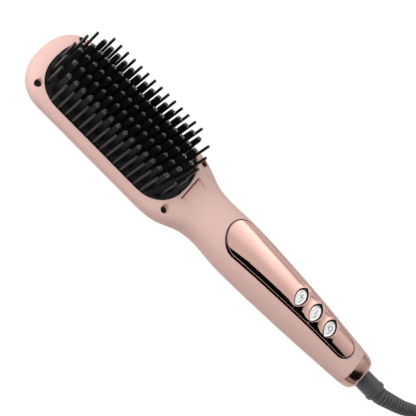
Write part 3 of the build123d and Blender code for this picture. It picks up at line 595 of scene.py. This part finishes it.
# The floor lights the brush as paper does, and shows nearly white with a faint shadow
PAPER = (0.8, 0.8, 0.8, 1.0)
SHADOW_PAPER = (0.11, 0.11, 0.11, 1.0)
PAPER_GLOW = 0.95
FLOOR_HALF = 6.0


def aim(thing, place, target):
    """Stands a lamp or card at a place, facing a target."""
    thing.location = place
    thing.rotation_euler = (Vector(target) - Vector(place)).to_track_quat("-Z", "Y").to_euler()


def seen_share(tree):
    """1 for rays of the camera, of gloss and through clear pieces, and 0 for rays that light."""
    rays = node(tree, "ShaderNodeLightPath")
    seen = math_node(tree, "MAXIMUM", rays.outputs["Is Camera Ray"], rays.outputs["Is Glossy Ray"])
    return math_node(tree, "MAXIMUM", seen, rays.outputs["Is Transmission Ray"])


def world_light(strength):
    """An even room that shows white to the camera and in gloss."""
    world = bpy.data.worlds.new("Room")
    bpy.context.scene.world = world
    tree = bare_tree(world)
    out = node(tree, "ShaderNodeOutputWorld")
    lit = node(tree, "ShaderNodeBackground")
    lit.inputs["Strength"].default_value = strength
    white = node(tree, "ShaderNodeBackground")
    white.inputs["Color"].default_value = WHITE
    white.inputs["Strength"].default_value = 1.0
    link(tree, mix_shaders(tree, seen_share(tree), lit, white), out.inputs[0])


def floor_material():
    """White paper that still takes the object's shadow."""
    material = bpy.data.materials.new("Paper floor")
    tree = bare_tree(material)
    out = node(tree, "ShaderNodeOutputMaterial")
    paper = node(tree, "ShaderNodeBsdfDiffuse")
    paper.inputs["Color"].default_value = PAPER
    shade = node(tree, "ShaderNodeBsdfDiffuse")
    shade.inputs["Color"].default_value = SHADOW_PAPER
    glow = node(tree, "ShaderNodeEmission")
    glow.inputs["Strength"].default_value = PAPER_GLOW
    both = node(tree, "ShaderNodeAddShader")
    link(tree, shade.outputs[0], both.inputs[0])
    link(tree, glow.outputs[0], both.inputs[1])
    link(tree, mix_shaders(tree, seen_share(tree), paper, both), out.inputs[0])
    return material


def card(name, place, size, material, middle, tilt=0.0, turn=0.0):
    """A flat card that only gloss can see, with its middle off its own origin."""
    shape = bmesh.new()
    bmesh.ops.create_grid(shape, x_segments=1, y_segments=1, size=0.5)
    bmesh.ops.scale(shape, vec=(size[0], size[1], 1.0), verts=shape.verts)
    bmesh.ops.translate(shape, vec=(*middle, 0.0), verts=shape.verts)
    mesh = mesh_of(name, shape)
    mesh.materials.append(material)
    made = placed(name, mesh)
    made.location = place
    made.rotation_euler = (tilt, 0.0, turn)
    made.visible_camera = False
    made.visible_diffuse = False
    made.visible_shadow = False
    made.visible_transmission = False


def card_material(name, level, runs):
    """A card's glow. Each run fades it along an axis of the card: (axis, start, end, far level)."""
    material = bpy.data.materials.new(name)
    tree = bare_tree(material)
    out = node(tree, "ShaderNodeOutputMaterial")
    place = node(tree, "ShaderNodeTexCoord")
    split = node(tree, "ShaderNodeSeparateXYZ")
    link(tree, place.outputs["Object"], split.inputs[0])
    strength = level
    for axis, start, end, far in runs:
        run = node(tree, "ShaderNodeMapRange", interpolation_type="SMOOTHSTEP")
        limits = (("From Min", start), ("From Max", end), ("To Min", 1.0), ("To Max", far))
        for limit, value in limits:
            run.inputs[limit].default_value = value
        link(tree, split.outputs[axis], run.inputs["Value"])
        strength = math_node(tree, "MULTIPLY", run.outputs[0], strength)
    glow = node(tree, "ShaderNodeEmission")
    if runs:
        link(tree, strength, glow.inputs["Strength"])
    else:
        glow.inputs["Strength"].default_value = level
    link(tree, glow.outputs[0], out.inputs[0])
    return material


class BRUSH_OT_camera(bpy.types.Operator):
    """Stand the camera where the brush is looked at from"""

    bl_idname = "brush.camera"
    bl_label = "Camera"

    def execute(self, context):
        studio = settings("studio")
        lens = bpy.data.cameras.new("Camera")
        lens.lens = studio.lens
        lens.sensor_width = 36.0
        lens.clip_start = 0.01
        lens.clip_end = 20.0
        camera = placed("Camera", lens)
        camera.location = studio.camera_place
        camera.rotation_euler = studio.camera_turn
        context.scene.camera = camera
        return {"FINISHED"}


class BRUSH_OT_studio(bpy.types.Operator):
    """Lay the floor, hang the soft lights and stand the cards that the polished pieces mirror"""

    bl_idname = "brush.studio"
    bl_label = "Studio"

    def execute(self, context):
        studio = settings("studio")
        context.scene.view_settings.view_transform = "Standard"
        world_light(studio.room_light)
        shape = bmesh.new()
        bmesh.ops.create_grid(shape, x_segments=1, y_segments=1, size=FLOOR_HALF)
        mesh = mesh_of("Floor", shape)
        mesh.materials.append(floor_material())
        placed("Floor", mesh)
        for name, place, target, size, power in (
            ("Key softbox", (-0.72, -0.18, 0.68), (-0.04, 0.0, 0.0), 0.6, studio.key_power),
            ("Top softbox", (0.15, 0.3, 1.25), (0.05, 0.0, 0.0), 0.9, studio.key_power * 0.4),
            ("Side softbox", (-0.4, -1.2, 0.7), (-0.1, 0.0, 0.0), 0.9, studio.key_power * 0.24),
        ):
            light = bpy.data.lights.new(name, "AREA")
            light.shape = "SQUARE"
            light.size = size
            light.energy = power
            lamp = placed(name, light)
            aim(lamp, place, target)
            lamp.visible_glossy = False
        runs = ((0, 0.35, 1.0, 0.5), (1, 1.3, 0.2, 0.46), (1, 1.6, 2.5, 0.45))
        bright = card_material("Overhead glow", 1.68, runs)
        card("Overhead card", (0.0, 0.0, 1.2), (4.0, 4.7), bright, (0.0, 1.15))
        dark = card_material("Black flag", 0.0, ())
        card("Black flag card", (0.5, -0.05, 1.19), (2.0, 1.6), dark, (-0.12, -0.8), turn=0.75)
        in_front = (0.0, -1.15, 0.0)
        on_table = (0.0, 0.0, 0.001)
        card("Front flag card", in_front, (4.0, 0.43), dark, (0.0, 0.98), pi / 2)
        card("Low flag card", on_table, (4.0, 1.11), dark, (0.0, -0.645))
        dim = card_material("Head glow", 0.42, ())
        card("Head card", on_table, (0.45, 0.06), dim, (-0.2, -0.062))
        front = card_material("Front glow", 0.5, ())
        card("Front card", in_front, (4.0, 0.74), front, (0.0, 0.395), pi / 2)
        back = card_material("Back glow", 0.7, ())
        card("Back card", (0.0, 2.7, 0.0), (5.0, 1.2), back, (0.0, 0.62), pi / 2)
        return {"FINISHED"}


# ---------------------------------------------------------------- finishes


class BRUSH_OT_finishes(bpy.types.Operator):
    """Mix the finishes of the housing, brush, panel, cord and inner pieces"""

    bl_idname = "brush.finishes"
    bl_label = "Finishes"

    def execute(self, context):
        surface_grain_group()
        drawn_lines_group()
        housing = settings("housing")
        head = settings("head")
        panel = settings("panel")
        grained("pink_shell", housing.colour, scaled(housing.colour, 1.03), 0.52, 0.05,
                housing.grain_scale, housing.grain_depth, 45.0, specular=0.2)
        grained("black_plate", head.plate_colour, scaled(head.plate_colour, 1.5), 0.16, 0.06,
                1500.0, 0.000006, specular=0.16)
        grained("black_bristle", head.bristle_colour, scaled(head.bristle_colour, 1.6), 0.3, 0.1,
                2500.0, 0.000008, specular=0.6)
        grained("tip_gloss", head.bristle_colour, scaled(head.bristle_colour, 1.6), 0.1, 0.05,
                2500.0, 0.000003, specular=0.9, coat=0.8)
        grained("coated_blade", head.bristle_colour, scaled(head.bristle_colour, 1.8), 0.34, 0.1,
                2200.0, 0.000006, specular=0.2)
        grained("rose_metal", panel.colour, scaled(panel.colour, 1.02), 0.06, 0.02,
                700.0, 0.0000003, metallic=1.0)
        # The end cap's finish is the panel's rose gold darkened to 0.62: painted shade on a piece plated
        # like the panel
        grained("shaded_cap_metal", scaled(panel.colour, 0.62), scaled(panel.colour, 0.64), 0.17, 0.03,
                700.0, 0.000001, metallic=1.0)
        grained("dark_trim", (0.02, 0.014, 0.013), (0.03, 0.02, 0.018), 0.12, 0.04,
                900.0, 0.000002, coat=0.5)
        grained("button_clear", (0.96, 0.965, 0.97), (0.98, 0.98, 0.98), 0.16, 0.04,
                900.0, 0.000002, metallic=0.6)
        grained("bezel_chrome", (0.10, 0.075, 0.07), (0.12, 0.09, 0.08), 0.12, 0.04,
                900.0, 0.000001, metallic=1.0)
        # Near-black of the well plugs and of the rings under the button gaps: painted shade
        grained("painted_shade_black", (0.006, 0.005, 0.005), (0.01, 0.008, 0.008), 0.6, specular=0.2)
        grained("mark_ink", (0.10, 0.10, 0.11), (0.14, 0.14, 0.15), 0.4)
        grained("barrel_grey", (0.065, 0.067, 0.073), (0.076, 0.078, 0.084), 0.38, 0.06,
                1800.0, 0.000008)
        grained("boot_rubber", (0.075, 0.077, 0.083), (0.09, 0.092, 0.098), 0.55, 0.08,
                1600.0, 0.000014)
        grained("cord_rubber", (0.035, 0.036, 0.039), (0.045, 0.046, 0.05), 0.5, 0.08,
                1500.0, 0.000014)
        grained("tie", (0.02, 0.02, 0.022), (0.05, 0.05, 0.052), 0.85, 0.1, 1400.0, 0.0001,
                sheen=0.3)
        grained("insulator", (0.52, 0.49, 0.42), (0.58, 0.55, 0.48), 0.6)
        grained("ceramic", (0.82, 0.79, 0.73), (0.88, 0.86, 0.82), 0.45, grain=3000.0)
        grained("mica", (0.48, 0.36, 0.20), (0.62, 0.50, 0.32), 0.35, blotch=300.0)
        grained("sensor", (0.68, 0.58, 0.42), (0.74, 0.66, 0.5), 0.3)
        grained("potting", (0.012, 0.012, 0.016), (0.02, 0.02, 0.024), 0.5)
        grained("circuit_board", (0.01, 0.09, 0.03), (0.014, 0.12, 0.045), 0.3, blotch=500.0)
        grained("capacitor_case", (0.55, 0.33, 0.04), (0.6, 0.38, 0.06), 0.4)
        grained("chip_black", (0.008, 0.008, 0.008), (0.014, 0.014, 0.014), 0.5)
        grained("lamp", (0.9, 0.9, 0.82), (0.95, 0.95, 0.9), 0.2)
        grained("ribbon", (0.5, 0.5, 0.5), (0.56, 0.56, 0.56), 0.5)
        grained("plunger", (0.78, 0.78, 0.76), (0.84, 0.84, 0.82), 0.5)
        grained("wire", (0.68, 0.68, 0.68), (0.74, 0.74, 0.74), 0.5)
        drawn("aluminium", (0.8, 0.8, 0.8), 0.25)
        drawn("spring_steel", (0.62, 0.62, 0.64), 0.22)
        drawn("screw_steel", (0.34, 0.34, 0.36), 0.3, (4000.0, 4000.0, 60.0))
        drawn("copper", (0.75, 0.4, 0.24), 0.2, (4000.0, 60.0, 60.0))
        drawn("plug_brass", (0.76, 0.72, 0.62), 0.18, (2000.0, 2000.0, 200.0))
        return {"FINISHED"}


class BRUSH_OT_inner_pieces(bpy.types.Operator):
    """Give every node of the frame the finish of its slot"""

    bl_idname = "brush.inner_pieces"
    bl_label = "Inner pieces"

    def execute(self, context):
        for row in frame["record"]["subparts"]:
            thing = frame["nodes"][row["node"]]
            finish = bpy.data.materials[row["material_slot"]]
            for holder in thing.material_slots:
                holder.material = finish
        return {"FINISHED"}


# ---------------------------------------------------------------- housing and brush

# In millimetres: places of the screw wells in the frame, and the black plug in each, which paints the
# shade deep in the well
WELLS_ALONG = (-133.45, -30.0)
WELL_ACROSS = 20.9
SHADE_PLUG_RADIUS = 2.36
SHADE_PLUG_LENGTH = 3.0
SHADE_PLUG_HEIGHT = 17.2


def plug_shape():
    """Four black plugs, each a little below the rim of its screw well: painted shade for the dark depth
    of the wells.
    """
    shape = bmesh.new()
    radius = SHADE_PLUG_RADIUS * MM
    for along in WELLS_ALONG:
        for across in (-WELL_ACROSS, WELL_ACROSS):
            made = bmesh.ops.create_cone(
                shape, cap_ends=True, segments=40, radius1=radius, radius2=radius,
                depth=SHADE_PLUG_LENGTH * MM,
            )["verts"]
            bmesh.ops.translate(shape, verts=made, vec=(along * MM, across * MM, SHADE_PLUG_HEIGHT * MM))
    rims = [edge for edge in shape.edges if edge.calc_face_angle(0) > radians(60)]
    bmesh.ops.bevel(
        shape, geom=rims, offset=0.4 * MM, segments=3, profile=0.5, affect="EDGES", material=-1
    )
    return shape


class BRUSH_OT_housing(bpy.types.Operator):
    """Finish the two soft-touch shells, the screws in their wells, the black plugs that paint the shade
    in the wells, and the grille in the slit, coloured pink as painted light
    """

    bl_idname = "brush.housing"
    bl_label = "Housing"

    def execute(self, context):
        merged_copy("front_cover", "pink_shell", sharp=14.0)
        merged_copy("back_cover", "pink_shell", sharp=35.0)
        merged_copy("case_screws", "screw_steel")
        # Black plugs in the screw wells: painted shade standing in for the deep wells
        settle(new_piece("well_shade_plugs", plug_shape(), "painted_shade_black"), "black_plate", body="body")
        # The grille is black in the frame but gets the shell's pink here: painted light, so the narrow
        # slit looks lit
        merged_copy("vent_grille", "pink_shell", slot="black_plate")
        return {"FINISHED"}


class BRUSH_OT_brush_head(bpy.types.Operator):
    """Finish the domed plate, the cool pins, the heated blades and their tips"""

    bl_idname = "brush.brush_head"
    bl_label = "Brush head"

    def execute(self, context):
        head = settings("head")
        merged_copy("brush_plate", "black_plate", sharp=35.0)
        for place in ("left", "right", "head", "neck"):
            merged_copy("cool_pins_" + place, "black_bristle", sharp=40.0, pin_radius=head.pin_radius)
        for row in range(1, 6):
            merged_copy("blade_row_" + str(row), "coated_blade")
        merged_copy("blade_tips", "tip_gloss", slot="black_bristle")
        return {"FINISHED"}


# In millimetres: how the panel's surface changes near a button, and where that fades out
FLATTENING = 0.52
FLAT_REACH = (0.3, 3.2)
FLAT_EDGE = 1.4
LIP_HEIGHT = 0.22
LIP_AT = 0.5
LIP_REACH = 1.1
LIP_TIP = (4.0, 6.5)
LIP_EDGE = 0.9
PANEL_THICKNESS = 1.0
PANEL_ROUND = 0.28
PANEL_RIM = 0.35
HOLE_GAP = 0.18
HOLE_DEPTHS = (-6.0, 4.0)


def panel_top(at, across):
    """Height of the panel's surface, which is flatter round each button and lips up at its hole."""
    base = handle_height(at, across, PANEL_RISE)
    middle = handle_height(at, 0.0, PANEL_RISE)
    edge = panel_half_width(at) - abs(across)
    height = base
    for step, _ in BUTTONS:
        away = almond_distance(at - BUTTON_AT - step * BUTTON_PITCH * cos(button_turn()), across)
        near = (1 - ease(away, *FLAT_REACH)) * ease(edge, 0.0, FLAT_EDGE)
        height += FLATTENING * (middle - base) * near
        lip = LIP_HEIGHT * (1 - ease(abs(away - LIP_AT), 0.0, LIP_REACH))
        lip *= 1 - ease(-across, *LIP_TIP)
        height += lip * ease(edge, 0.0, LIP_EDGE)
    return height


def almond_prism(shape, grow, low, high, steps=14):
    """An upright prism with a button's outline, in a bmesh in metres."""
    half = BUTTON_HALF_LENGTH + grow
    bulge = BUTTON_HALF_WIDTH + grow
    radius = (half**2 + bulge**2) / (2 * bulge)
    corners = []
    for side in (1, -1):
        for step in range(steps):
            across = side * half * cos(pi * step / steps)
            along = side * ((radius**2 - across**2) ** 0.5 - radius + bulge)
            corners.append(shape.verts.new((along * MM, across * MM, low * MM)))
    face = shape.faces.new(corners)
    made = bmesh.ops.extrude_face_region(shape, geom=[face])
    moved = [item for item in made["geom"] if isinstance(item, bmesh.types.BMVert)]
    bmesh.ops.translate(shape, verts=moved, vec=(0, 0, (high - low) * MM))
    return corners, moved


def button_cutters():
    """The three button holes as one object, for cutting the panel."""
    shape = bmesh.new()
    for step, _ in BUTTONS:
        low, high = almond_prism(shape, HOLE_GAP, *HOLE_DEPTHS)
        bmesh.ops.transform(shape, matrix=button_matrix(step), verts=[*low, *high])
    bmesh.ops.recalc_face_normals(shape, faces=shape.faces)
    return placed("hole_cutters", mesh_of("hole_cutters", shape))


def panel_shape(columns=240, rows=56):
    """The panel as a thin shell with a rounded edge."""
    (start, big), (end, small) = PANEL_CIRCLES
    shape = bmesh.new()
    bmesh.ops.create_grid(shape, x_segments=columns, y_segments=rows, size=1.0)
    first = start - big
    last = end + small
    for vert in shape.verts:
        at = (first + last) / 2 + (last - first) / 2 * sin(vert.co.x * pi / 2)
        across = vert.co.y * panel_half_width(at)
        vert.co = to_frame(at, across, panel_top(at, across))
    bmesh.ops.remove_doubles(shape, verts=shape.verts, dist=2e-6)
    bmesh.ops.dissolve_degenerate(shape, edges=shape.edges, dist=1e-6)
    made = bmesh.ops.extrude_face_region(shape, geom=shape.faces[:])
    moved = [item for item in made["geom"] if isinstance(item, bmesh.types.BMVert)]
    bmesh.ops.translate(shape, verts=moved, vec=(0, 0, -PANEL_THICKNESS * MM))
    bmesh.ops.recalc_face_normals(shape, faces=shape.faces)
    rim = [
        edge
        for edge in shape.edges
        if len(edge.link_faces) == 2
        and edge.calc_face_angle(0) > radians(50)
        and min(vert.co.z for vert in edge.verts)
        > max(face.calc_center_median().z for face in edge.link_faces) - PANEL_RIM * MM
    ]
    bmesh.ops.bevel(
        shape, geom=rim, offset=PANEL_ROUND * MM, segments=3, profile=0.5, affect="EDGES", material=-1
    )
    return shape


def smooth_faces(piece, sharp):
    """Shades a finished piece smooth up to its sharp edges."""
    for face in piece.data.polygons:
        face.use_smooth = True
    piece.data.set_sharp_from_angle(angle=radians(sharp))
    even_shading(piece)


def cut_away(piece, cutter):
    """Cuts one object's shape out of another and removes the cutter."""
    cut = piece.modifiers.new("Cut", "BOOLEAN")
    cut.operation = "DIFFERENCE"
    cut.solver = "EXACT"
    cut.object = cutter
    graph = bpy.context.evaluated_depsgraph_get()
    mesh = bpy.data.meshes.new_from_object(piece.evaluated_get(graph))
    piece.modifiers.clear()
    old = piece.data
    piece.data = mesh
    bpy.data.meshes.remove(old)
    bpy.data.objects.remove(cutter)


class BRUSH_OT_control_panel(bpy.types.Operator):
    """Shape the rose-gold panel with a lip round each button, in its dark bezel"""

    bl_idname = "brush.control_panel"
    bl_label = "Control panel"

    def execute(self, context):
        piece = new_piece("panel_insert", panel_shape(), "rose_metal")
        cut_away(piece, button_cutters())
        piece.data.name = "panel_insert"
        smooth_faces(piece, sharp=38.0)
        settle(piece, "rose_metal", "control_panel")
        merged_copy("panel_bezel", "bezel_chrome", sharp=40.0, slot="dark_trim")
        return {"FINISHED"}


# In millimetres, from the middle of a button's hole: its clear face, mark and the black ring under its
# gap, which paints the shade in the hole
LENS_HALF_LENGTH = 6.75
LENS_HALF_WIDTH = 3.5
LENS_FAR_END = 4.95
LENS_SHIFT = -0.15
LENS_FOOT = -2.4
LENS_HEIGHT = 2.0
FACET_WIDTH = 0.55
FACET_RISE = 0.38
DISH_WIDTH = 0.75
DISH_DEPTH = 0.12
MARK_MIDDLE = -0.13
BAR_LENGTH = 3.6
POWER_BAR = 1.7
POWER_BAR_AT = -1.15
POWER_RING = 1.55
POWER_PIECES = 20
POWER_PIECE = 0.6
POWER_GAP = radians(70)
SHADE_RING_GROW = 0.14
SHADE_RING_HEIGHTS = (-1.15, -0.85)


def lens_shape(steps=18):
    """A cut, clear button face: pointed towards the thumb and round at the far end."""
    shape = bmesh.new()
    corners = []
    bulge = LENS_HALF_WIDTH
    radius = (LENS_HALF_LENGTH**2 + bulge**2) / (2 * bulge)
    for step in range(2 * steps):
        turn = pi * step / steps
        if sin(turn) >= 0:
            along, across = bulge * cos(turn), LENS_FAR_END * sin(turn)
        else:
            across = LENS_HALF_LENGTH * sin(turn)
            along = (radius**2 - across**2) ** 0.5 - radius + bulge
            along = along if cos(turn) >= 0 else -along
        corners.append(
            shape.verts.new((along * MM, (across + LENS_SHIFT) * MM, LENS_FOOT * MM))
        )
    face = shape.faces.new(corners)
    made = bmesh.ops.extrude_face_region(shape, geom=[face])
    moved = [item for item in made["geom"] if isinstance(item, bmesh.types.BMVert)]
    bmesh.ops.translate(shape, verts=moved, vec=(0, 0, LENS_HEIGHT * MM))
    top = [item for item in made["geom"] if isinstance(item, bmesh.types.BMFace)]
    bmesh.ops.inset_region(shape, faces=top, thickness=FACET_WIDTH * MM, depth=FACET_RISE * MM)
    bmesh.ops.inset_region(shape, faces=top, thickness=DISH_WIDTH * MM, depth=-DISH_DEPTH * MM)
    return shape


def stroke(shape, length, along=0.0, across=0.0, turn=0.0):
    """A flat bar of a mark, in millimetres from the middle of its button."""
    panel = settings("panel")
    made = bmesh.ops.create_cube(shape, size=1.0)["verts"]
    bmesh.ops.scale(shape, vec=(length * MM, panel.mark_width, panel.mark_height), verts=made)
    bmesh.ops.rotate(shape, cent=(0, 0, 0), matrix=Matrix.Rotation(turn, 3, "Z"), verts=made)
    bmesh.ops.translate(shape, vec=(along * MM, across * MM, MARK_MIDDLE * MM), verts=made)


def mark_shape(name):
    """Plus, minus or power mark, lying on its button."""
    shape = bmesh.new()
    if name == "plus":
        stroke(shape, BAR_LENGTH)
    if name in ("plus", "minus"):
        stroke(shape, BAR_LENGTH, turn=pi / 2)
    if name == "power":
        stroke(shape, POWER_BAR, along=POWER_BAR_AT)
        for step in range(POWER_PIECES):
            turn = pi - POWER_GAP / 2 - (2 * pi - POWER_GAP) * step / (POWER_PIECES - 1)
            stroke(shape, POWER_PIECE, POWER_RING * cos(turn), POWER_RING * sin(turn), turn + pi / 2)
    return shape


def skirt_shape():
    """Black ring round the foot of a button, under the gap in its hole: painted shade."""
    shape = bmesh.new()
    almond_prism(shape, SHADE_RING_GROW, *SHADE_RING_HEIGHTS)
    return shape


def button_piece(name, shape, step, finish):
    """A piece whose shape is given from the middle of a button's hole."""
    bmesh.ops.transform(shape, matrix=button_matrix(step), verts=shape.verts)
    return new_piece(name, shape, finish)


class BRUSH_OT_buttons(bpy.types.Operator):
    """Cut the three clear buttons and give each its mark and a black ring under its gap, as painted
    shade
    """

    bl_idname = "brush.buttons"
    bl_label = "Buttons"

    def execute(self, context):
        for step, name in BUTTONS:
            body = "button_" + name
            lens = button_piece("lens_" + name, lens_shape(), step, "button_clear")
            settle(lens, "button_clear", body)
            mark = button_piece("mark_" + name, mark_shape(name), step, "mark_ink")
            settle(mark, "dark_trim", body=body)
            # A black ring under the gap round the button: painted shade in the hole
            shade_ring = button_piece("shade_ring_" + name, skirt_shape(), step, "painted_shade_black")
            settle(shade_ring, "dark_trim", body=body)
        return {"FINISHED"}


# In millimetres: the end cap. Each row is a size where the cap starts and how much it loses
CAP_AT = 270.3
CAP_LENGTH = 9.2
CAP_SLEEVE = (270.45, 6.65)
CAP_ROUND = 2.4
CAP_HALF = (12.9, 2.1)
CAP_OVER = (9.4, 1.4)
CAP_UNDER = (11.8, 1.6)
CAP_POWERS = (2.25, 2.2)
CAP_HOLE = 6.75
CAP_HOLE_HEIGHT = -1.2


def cap_ring(at, turn, grow):
    """Point of the end cap's outside, moved outwards by grow."""
    share = ((at - CAP_AT) / CAP_LENGTH) ** 2
    half, over, under = (
        size - loss * share + grow for size, loss in (CAP_HALF, CAP_OVER, CAP_UNDER)
    )
    across = cos(turn)
    high = sin(turn)
    power = CAP_POWERS[0] if high >= 0 else CAP_POWERS[1]
    reach = 2 / power
    return (
        half * abs(across) ** reach * (1 if across >= 0 else -1),
        (over if high >= 0 else -under) * abs(high) ** reach,
    )


def cap_shape(columns=144):
    """The end cap: a sleeve that rounds over into its end wall, open where the barrel comes out."""
    start, length = CAP_SLEEVE
    sleeve = [(start + length * step / 8, 0.0) for step in range(9)]
    curl = [
        (start + length + CAP_ROUND * sin(radians(turn)), -CAP_ROUND * (1 - cos(radians(turn))))
        for turn in range(10, 91, 10)
    ]
    profile = [*sleeve, *curl]
    shape = bmesh.new()
    bmesh.ops.create_grid(shape, x_segments=columns, y_segments=len(profile), size=0.5)
    rows = len(profile)
    for vert in shape.verts:
        turn = 2 * pi * (vert.co.x + 0.5)
        row = round((vert.co.y + 0.5) * rows)
        if row < rows:
            at, grow = profile[row]
            across, high = cap_ring(at, turn, grow)
            vert.co = to_frame(at, across, high)
        else:
            across, high = CAP_HOLE * cos(turn), CAP_HOLE_HEIGHT + CAP_HOLE * sin(turn)
            vert.co = to_frame(CAP_AT + CAP_LENGTH, across, high)
    bmesh.ops.remove_doubles(shape, verts=shape.verts, dist=2e-6)
    return shape


class BRUSH_OT_cord_end(bpy.types.Operator):
    """Finish the end cap, the swivel barrel and the ribbed boot"""

    bl_idname = "brush.cord_end"
    bl_label = "Cord end"

    def execute(self, context):
        # The cap wears the darkened rose gold, which is painted shade
        cap = new_piece("cap_shell", cap_shape(), "shaded_cap_metal")
        smooth_faces(cap, sharp=50.0)
        settle(cap, "rose_metal", "end_cap")
        merged_copy("swivel_barrel", "barrel_grey", sharp=40.0)
        merged_copy("strain_relief", "boot_rubber", sharp=40.0)
        merged_copy("coil_tie", "tie", sharp=40.0)
        merged_copy("plug_body", "cord_rubber", sharp=40.0)
        merged_copy("plug_pins", "plug_brass", sharp=40.0)
        return {"FINISHED"}


# ---------------------------------------------------------------- cord

# In metres and degrees: the lead from the boot, the coil's turning, and the tail up to the plug
LEAD_POINTS = (
    (0.1795, 0.0134, 0.0080),
    (0.1875, 0.0182, 0.006667),
    (0.1950, 0.0276, 0.0044),
    (0.2035, 0.0405, 0.0037),
)
COIL_START = 146.1
TURNS = 8
TAIL_START = 200.0
TAIL_STEP = 28.0
TAIL_HEIGHTS = (0.0154, 0.0182, 0.0210, 0.0210, 0.0210, 0.0210, 0.02485)
PLUG_ENTRY = (0.2633, 0.0220, 0.02485)


def strand_places(cord):
    """Radius and height of each turn of the coil, in winding order."""
    middle = cord.coil_radius
    pitch = cord.strand_pitch
    low = cord.coil_place[2]
    columns = (1, 0, -1)
    places = [(middle + column * pitch, low) for column in columns]
    places += [(middle + column * pitch, low + pitch) for column in reversed(columns)]
    places += [(middle + column * pitch, low + 2 * pitch) for column in (1, 0)]
    return places


def coil_points(cord, step=18.0, window=36.0):
    """Points of the wound turns. Each turn moves to its place a little before the one before it did."""
    places = strand_places(cord)
    total = COIL_START - TAIL_START + TURNS * 360.0
    shift = window / 2
    starts = [index * (360.0 - shift) for index in range(1, len(places))]
    points = []
    count = round(total / step)
    for index in range(1, count):
        travel = total * index / count
        radius, height = places[0]
        for begin, (before, after) in zip(starts, zip(places, places[1:])):
            share = ease(travel, begin, begin + window)
            radius += (after[0] - before[0]) * share
            height += (after[1] - before[1]) * share
        turn = radians(COIL_START - travel)
        points.append(
            (
                cord.coil_place[0] + radius * cos(turn),
                cord.coil_place[1] + radius * sin(turn),
                height,
            )
        )
    return points


def tail_points(cord):
    """The end of the cord, which rises over the coil to the plug on top of it."""
    points = []
    for step, height in enumerate(TAIL_HEIGHTS):
        turn = radians(TAIL_START - TAIL_STEP * step)
        points.append(
            (
                cord.coil_place[0] + cord.coil_radius * cos(turn),
                cord.coil_place[1] + cord.coil_radius * sin(turn),
                height,
            )
        )
    points.append(PLUG_ENTRY)
    return points


class BRUSH_OT_cord(bpy.types.Operator):
    """Lay the cord: out of the boot, round the put-away coil and into the plug"""

    bl_idname = "brush.cord"
    bl_label = "Cord"

    def execute(self, context):
        cord = settings("cord")
        points = [*LEAD_POINTS, *coil_points(cord), *tail_points(cord)]
        curve = bpy.data.curves.new("mains_cord", "CURVE")
        curve.dimensions = "3D"
        curve.bevel_depth = cord.diameter / 2
        curve.bevel_resolution = 3
        curve.resolution_u = 5
        curve.use_fill_caps = True
        spline = curve.splines.new("NURBS")
        spline.points.add(len(points) - 1)
        for point, place in zip(spline.points, points):
            point.co = (*place, 1.0)
        spline.order_u = 3
        spline.use_endpoint_u = True
        curve.materials.append(bpy.data.materials["cord_rubber"])
        piece = placed("mains_cord", curve)
        settle(piece, "cord_rubber", "cord", "cord_coil")
        return {"FINISHED"}


# ---------------------------------------------------------------- panel and registration

STEPS = (
    ("camera", BRUSH_OT_camera),
    ("finishes", BRUSH_OT_finishes),
    ("cord_end", BRUSH_OT_cord_end),
    ("cord", BRUSH_OT_cord),
    ("inner_pieces", BRUSH_OT_inner_pieces),
    ("housing", BRUSH_OT_housing),
    ("brush_head", BRUSH_OT_brush_head),
    ("control_panel", BRUSH_OT_control_panel),
    ("buttons", BRUSH_OT_buttons),
    ("studio", BRUSH_OT_studio),
)
GROUPS = (
    ("studio", StudioSettings),
    ("housing", HousingSettings),
    ("head", HeadSettings),
    ("panel", PanelSettings),
    ("cord", CordSettings),
)


class BRUSH_PT_parts(bpy.types.Panel):
    """Lists the brush's sizes and the steps that make it"""

    bl_idname = "BRUSH_PT_parts"
    bl_label = "Hair straightener brush"
    bl_space_type = "VIEW_3D"
    bl_region_type = "UI"
    bl_category = "Brush"

    def draw(self, context):
        for name, group in GROUPS:
            box = self.layout.box()
            box.label(text=name.capitalize())
            for key in group.__annotations__:
                box.prop(getattr(context.scene, "brush_" + name), key)
        for name, step in STEPS:
            self.layout.operator("brush." + name, text=step.bl_label)


def register():
    for name, group in GROUPS:
        bpy.utils.register_class(group)
        setattr(bpy.types.Scene, "brush_" + name, PointerProperty(type=group))
    for _, step in STEPS:
        bpy.utils.register_class(step)
    bpy.utils.register_class(BRUSH_PT_parts)


def unregister():
    bpy.utils.unregister_class(BRUSH_PT_parts)
    for _, step in reversed(STEPS):
        bpy.utils.unregister_class(step)
    for name, group in reversed(GROUPS):
        delattr(bpy.types.Scene, "brush_" + name)
        bpy.utils.unregister_class(group)


def main():
    register()
    for name, _ in STEPS:
        getattr(bpy.ops.brush, name)()
    bpy.context.view_layer.update()


if __name__ == "__main__":
    main()
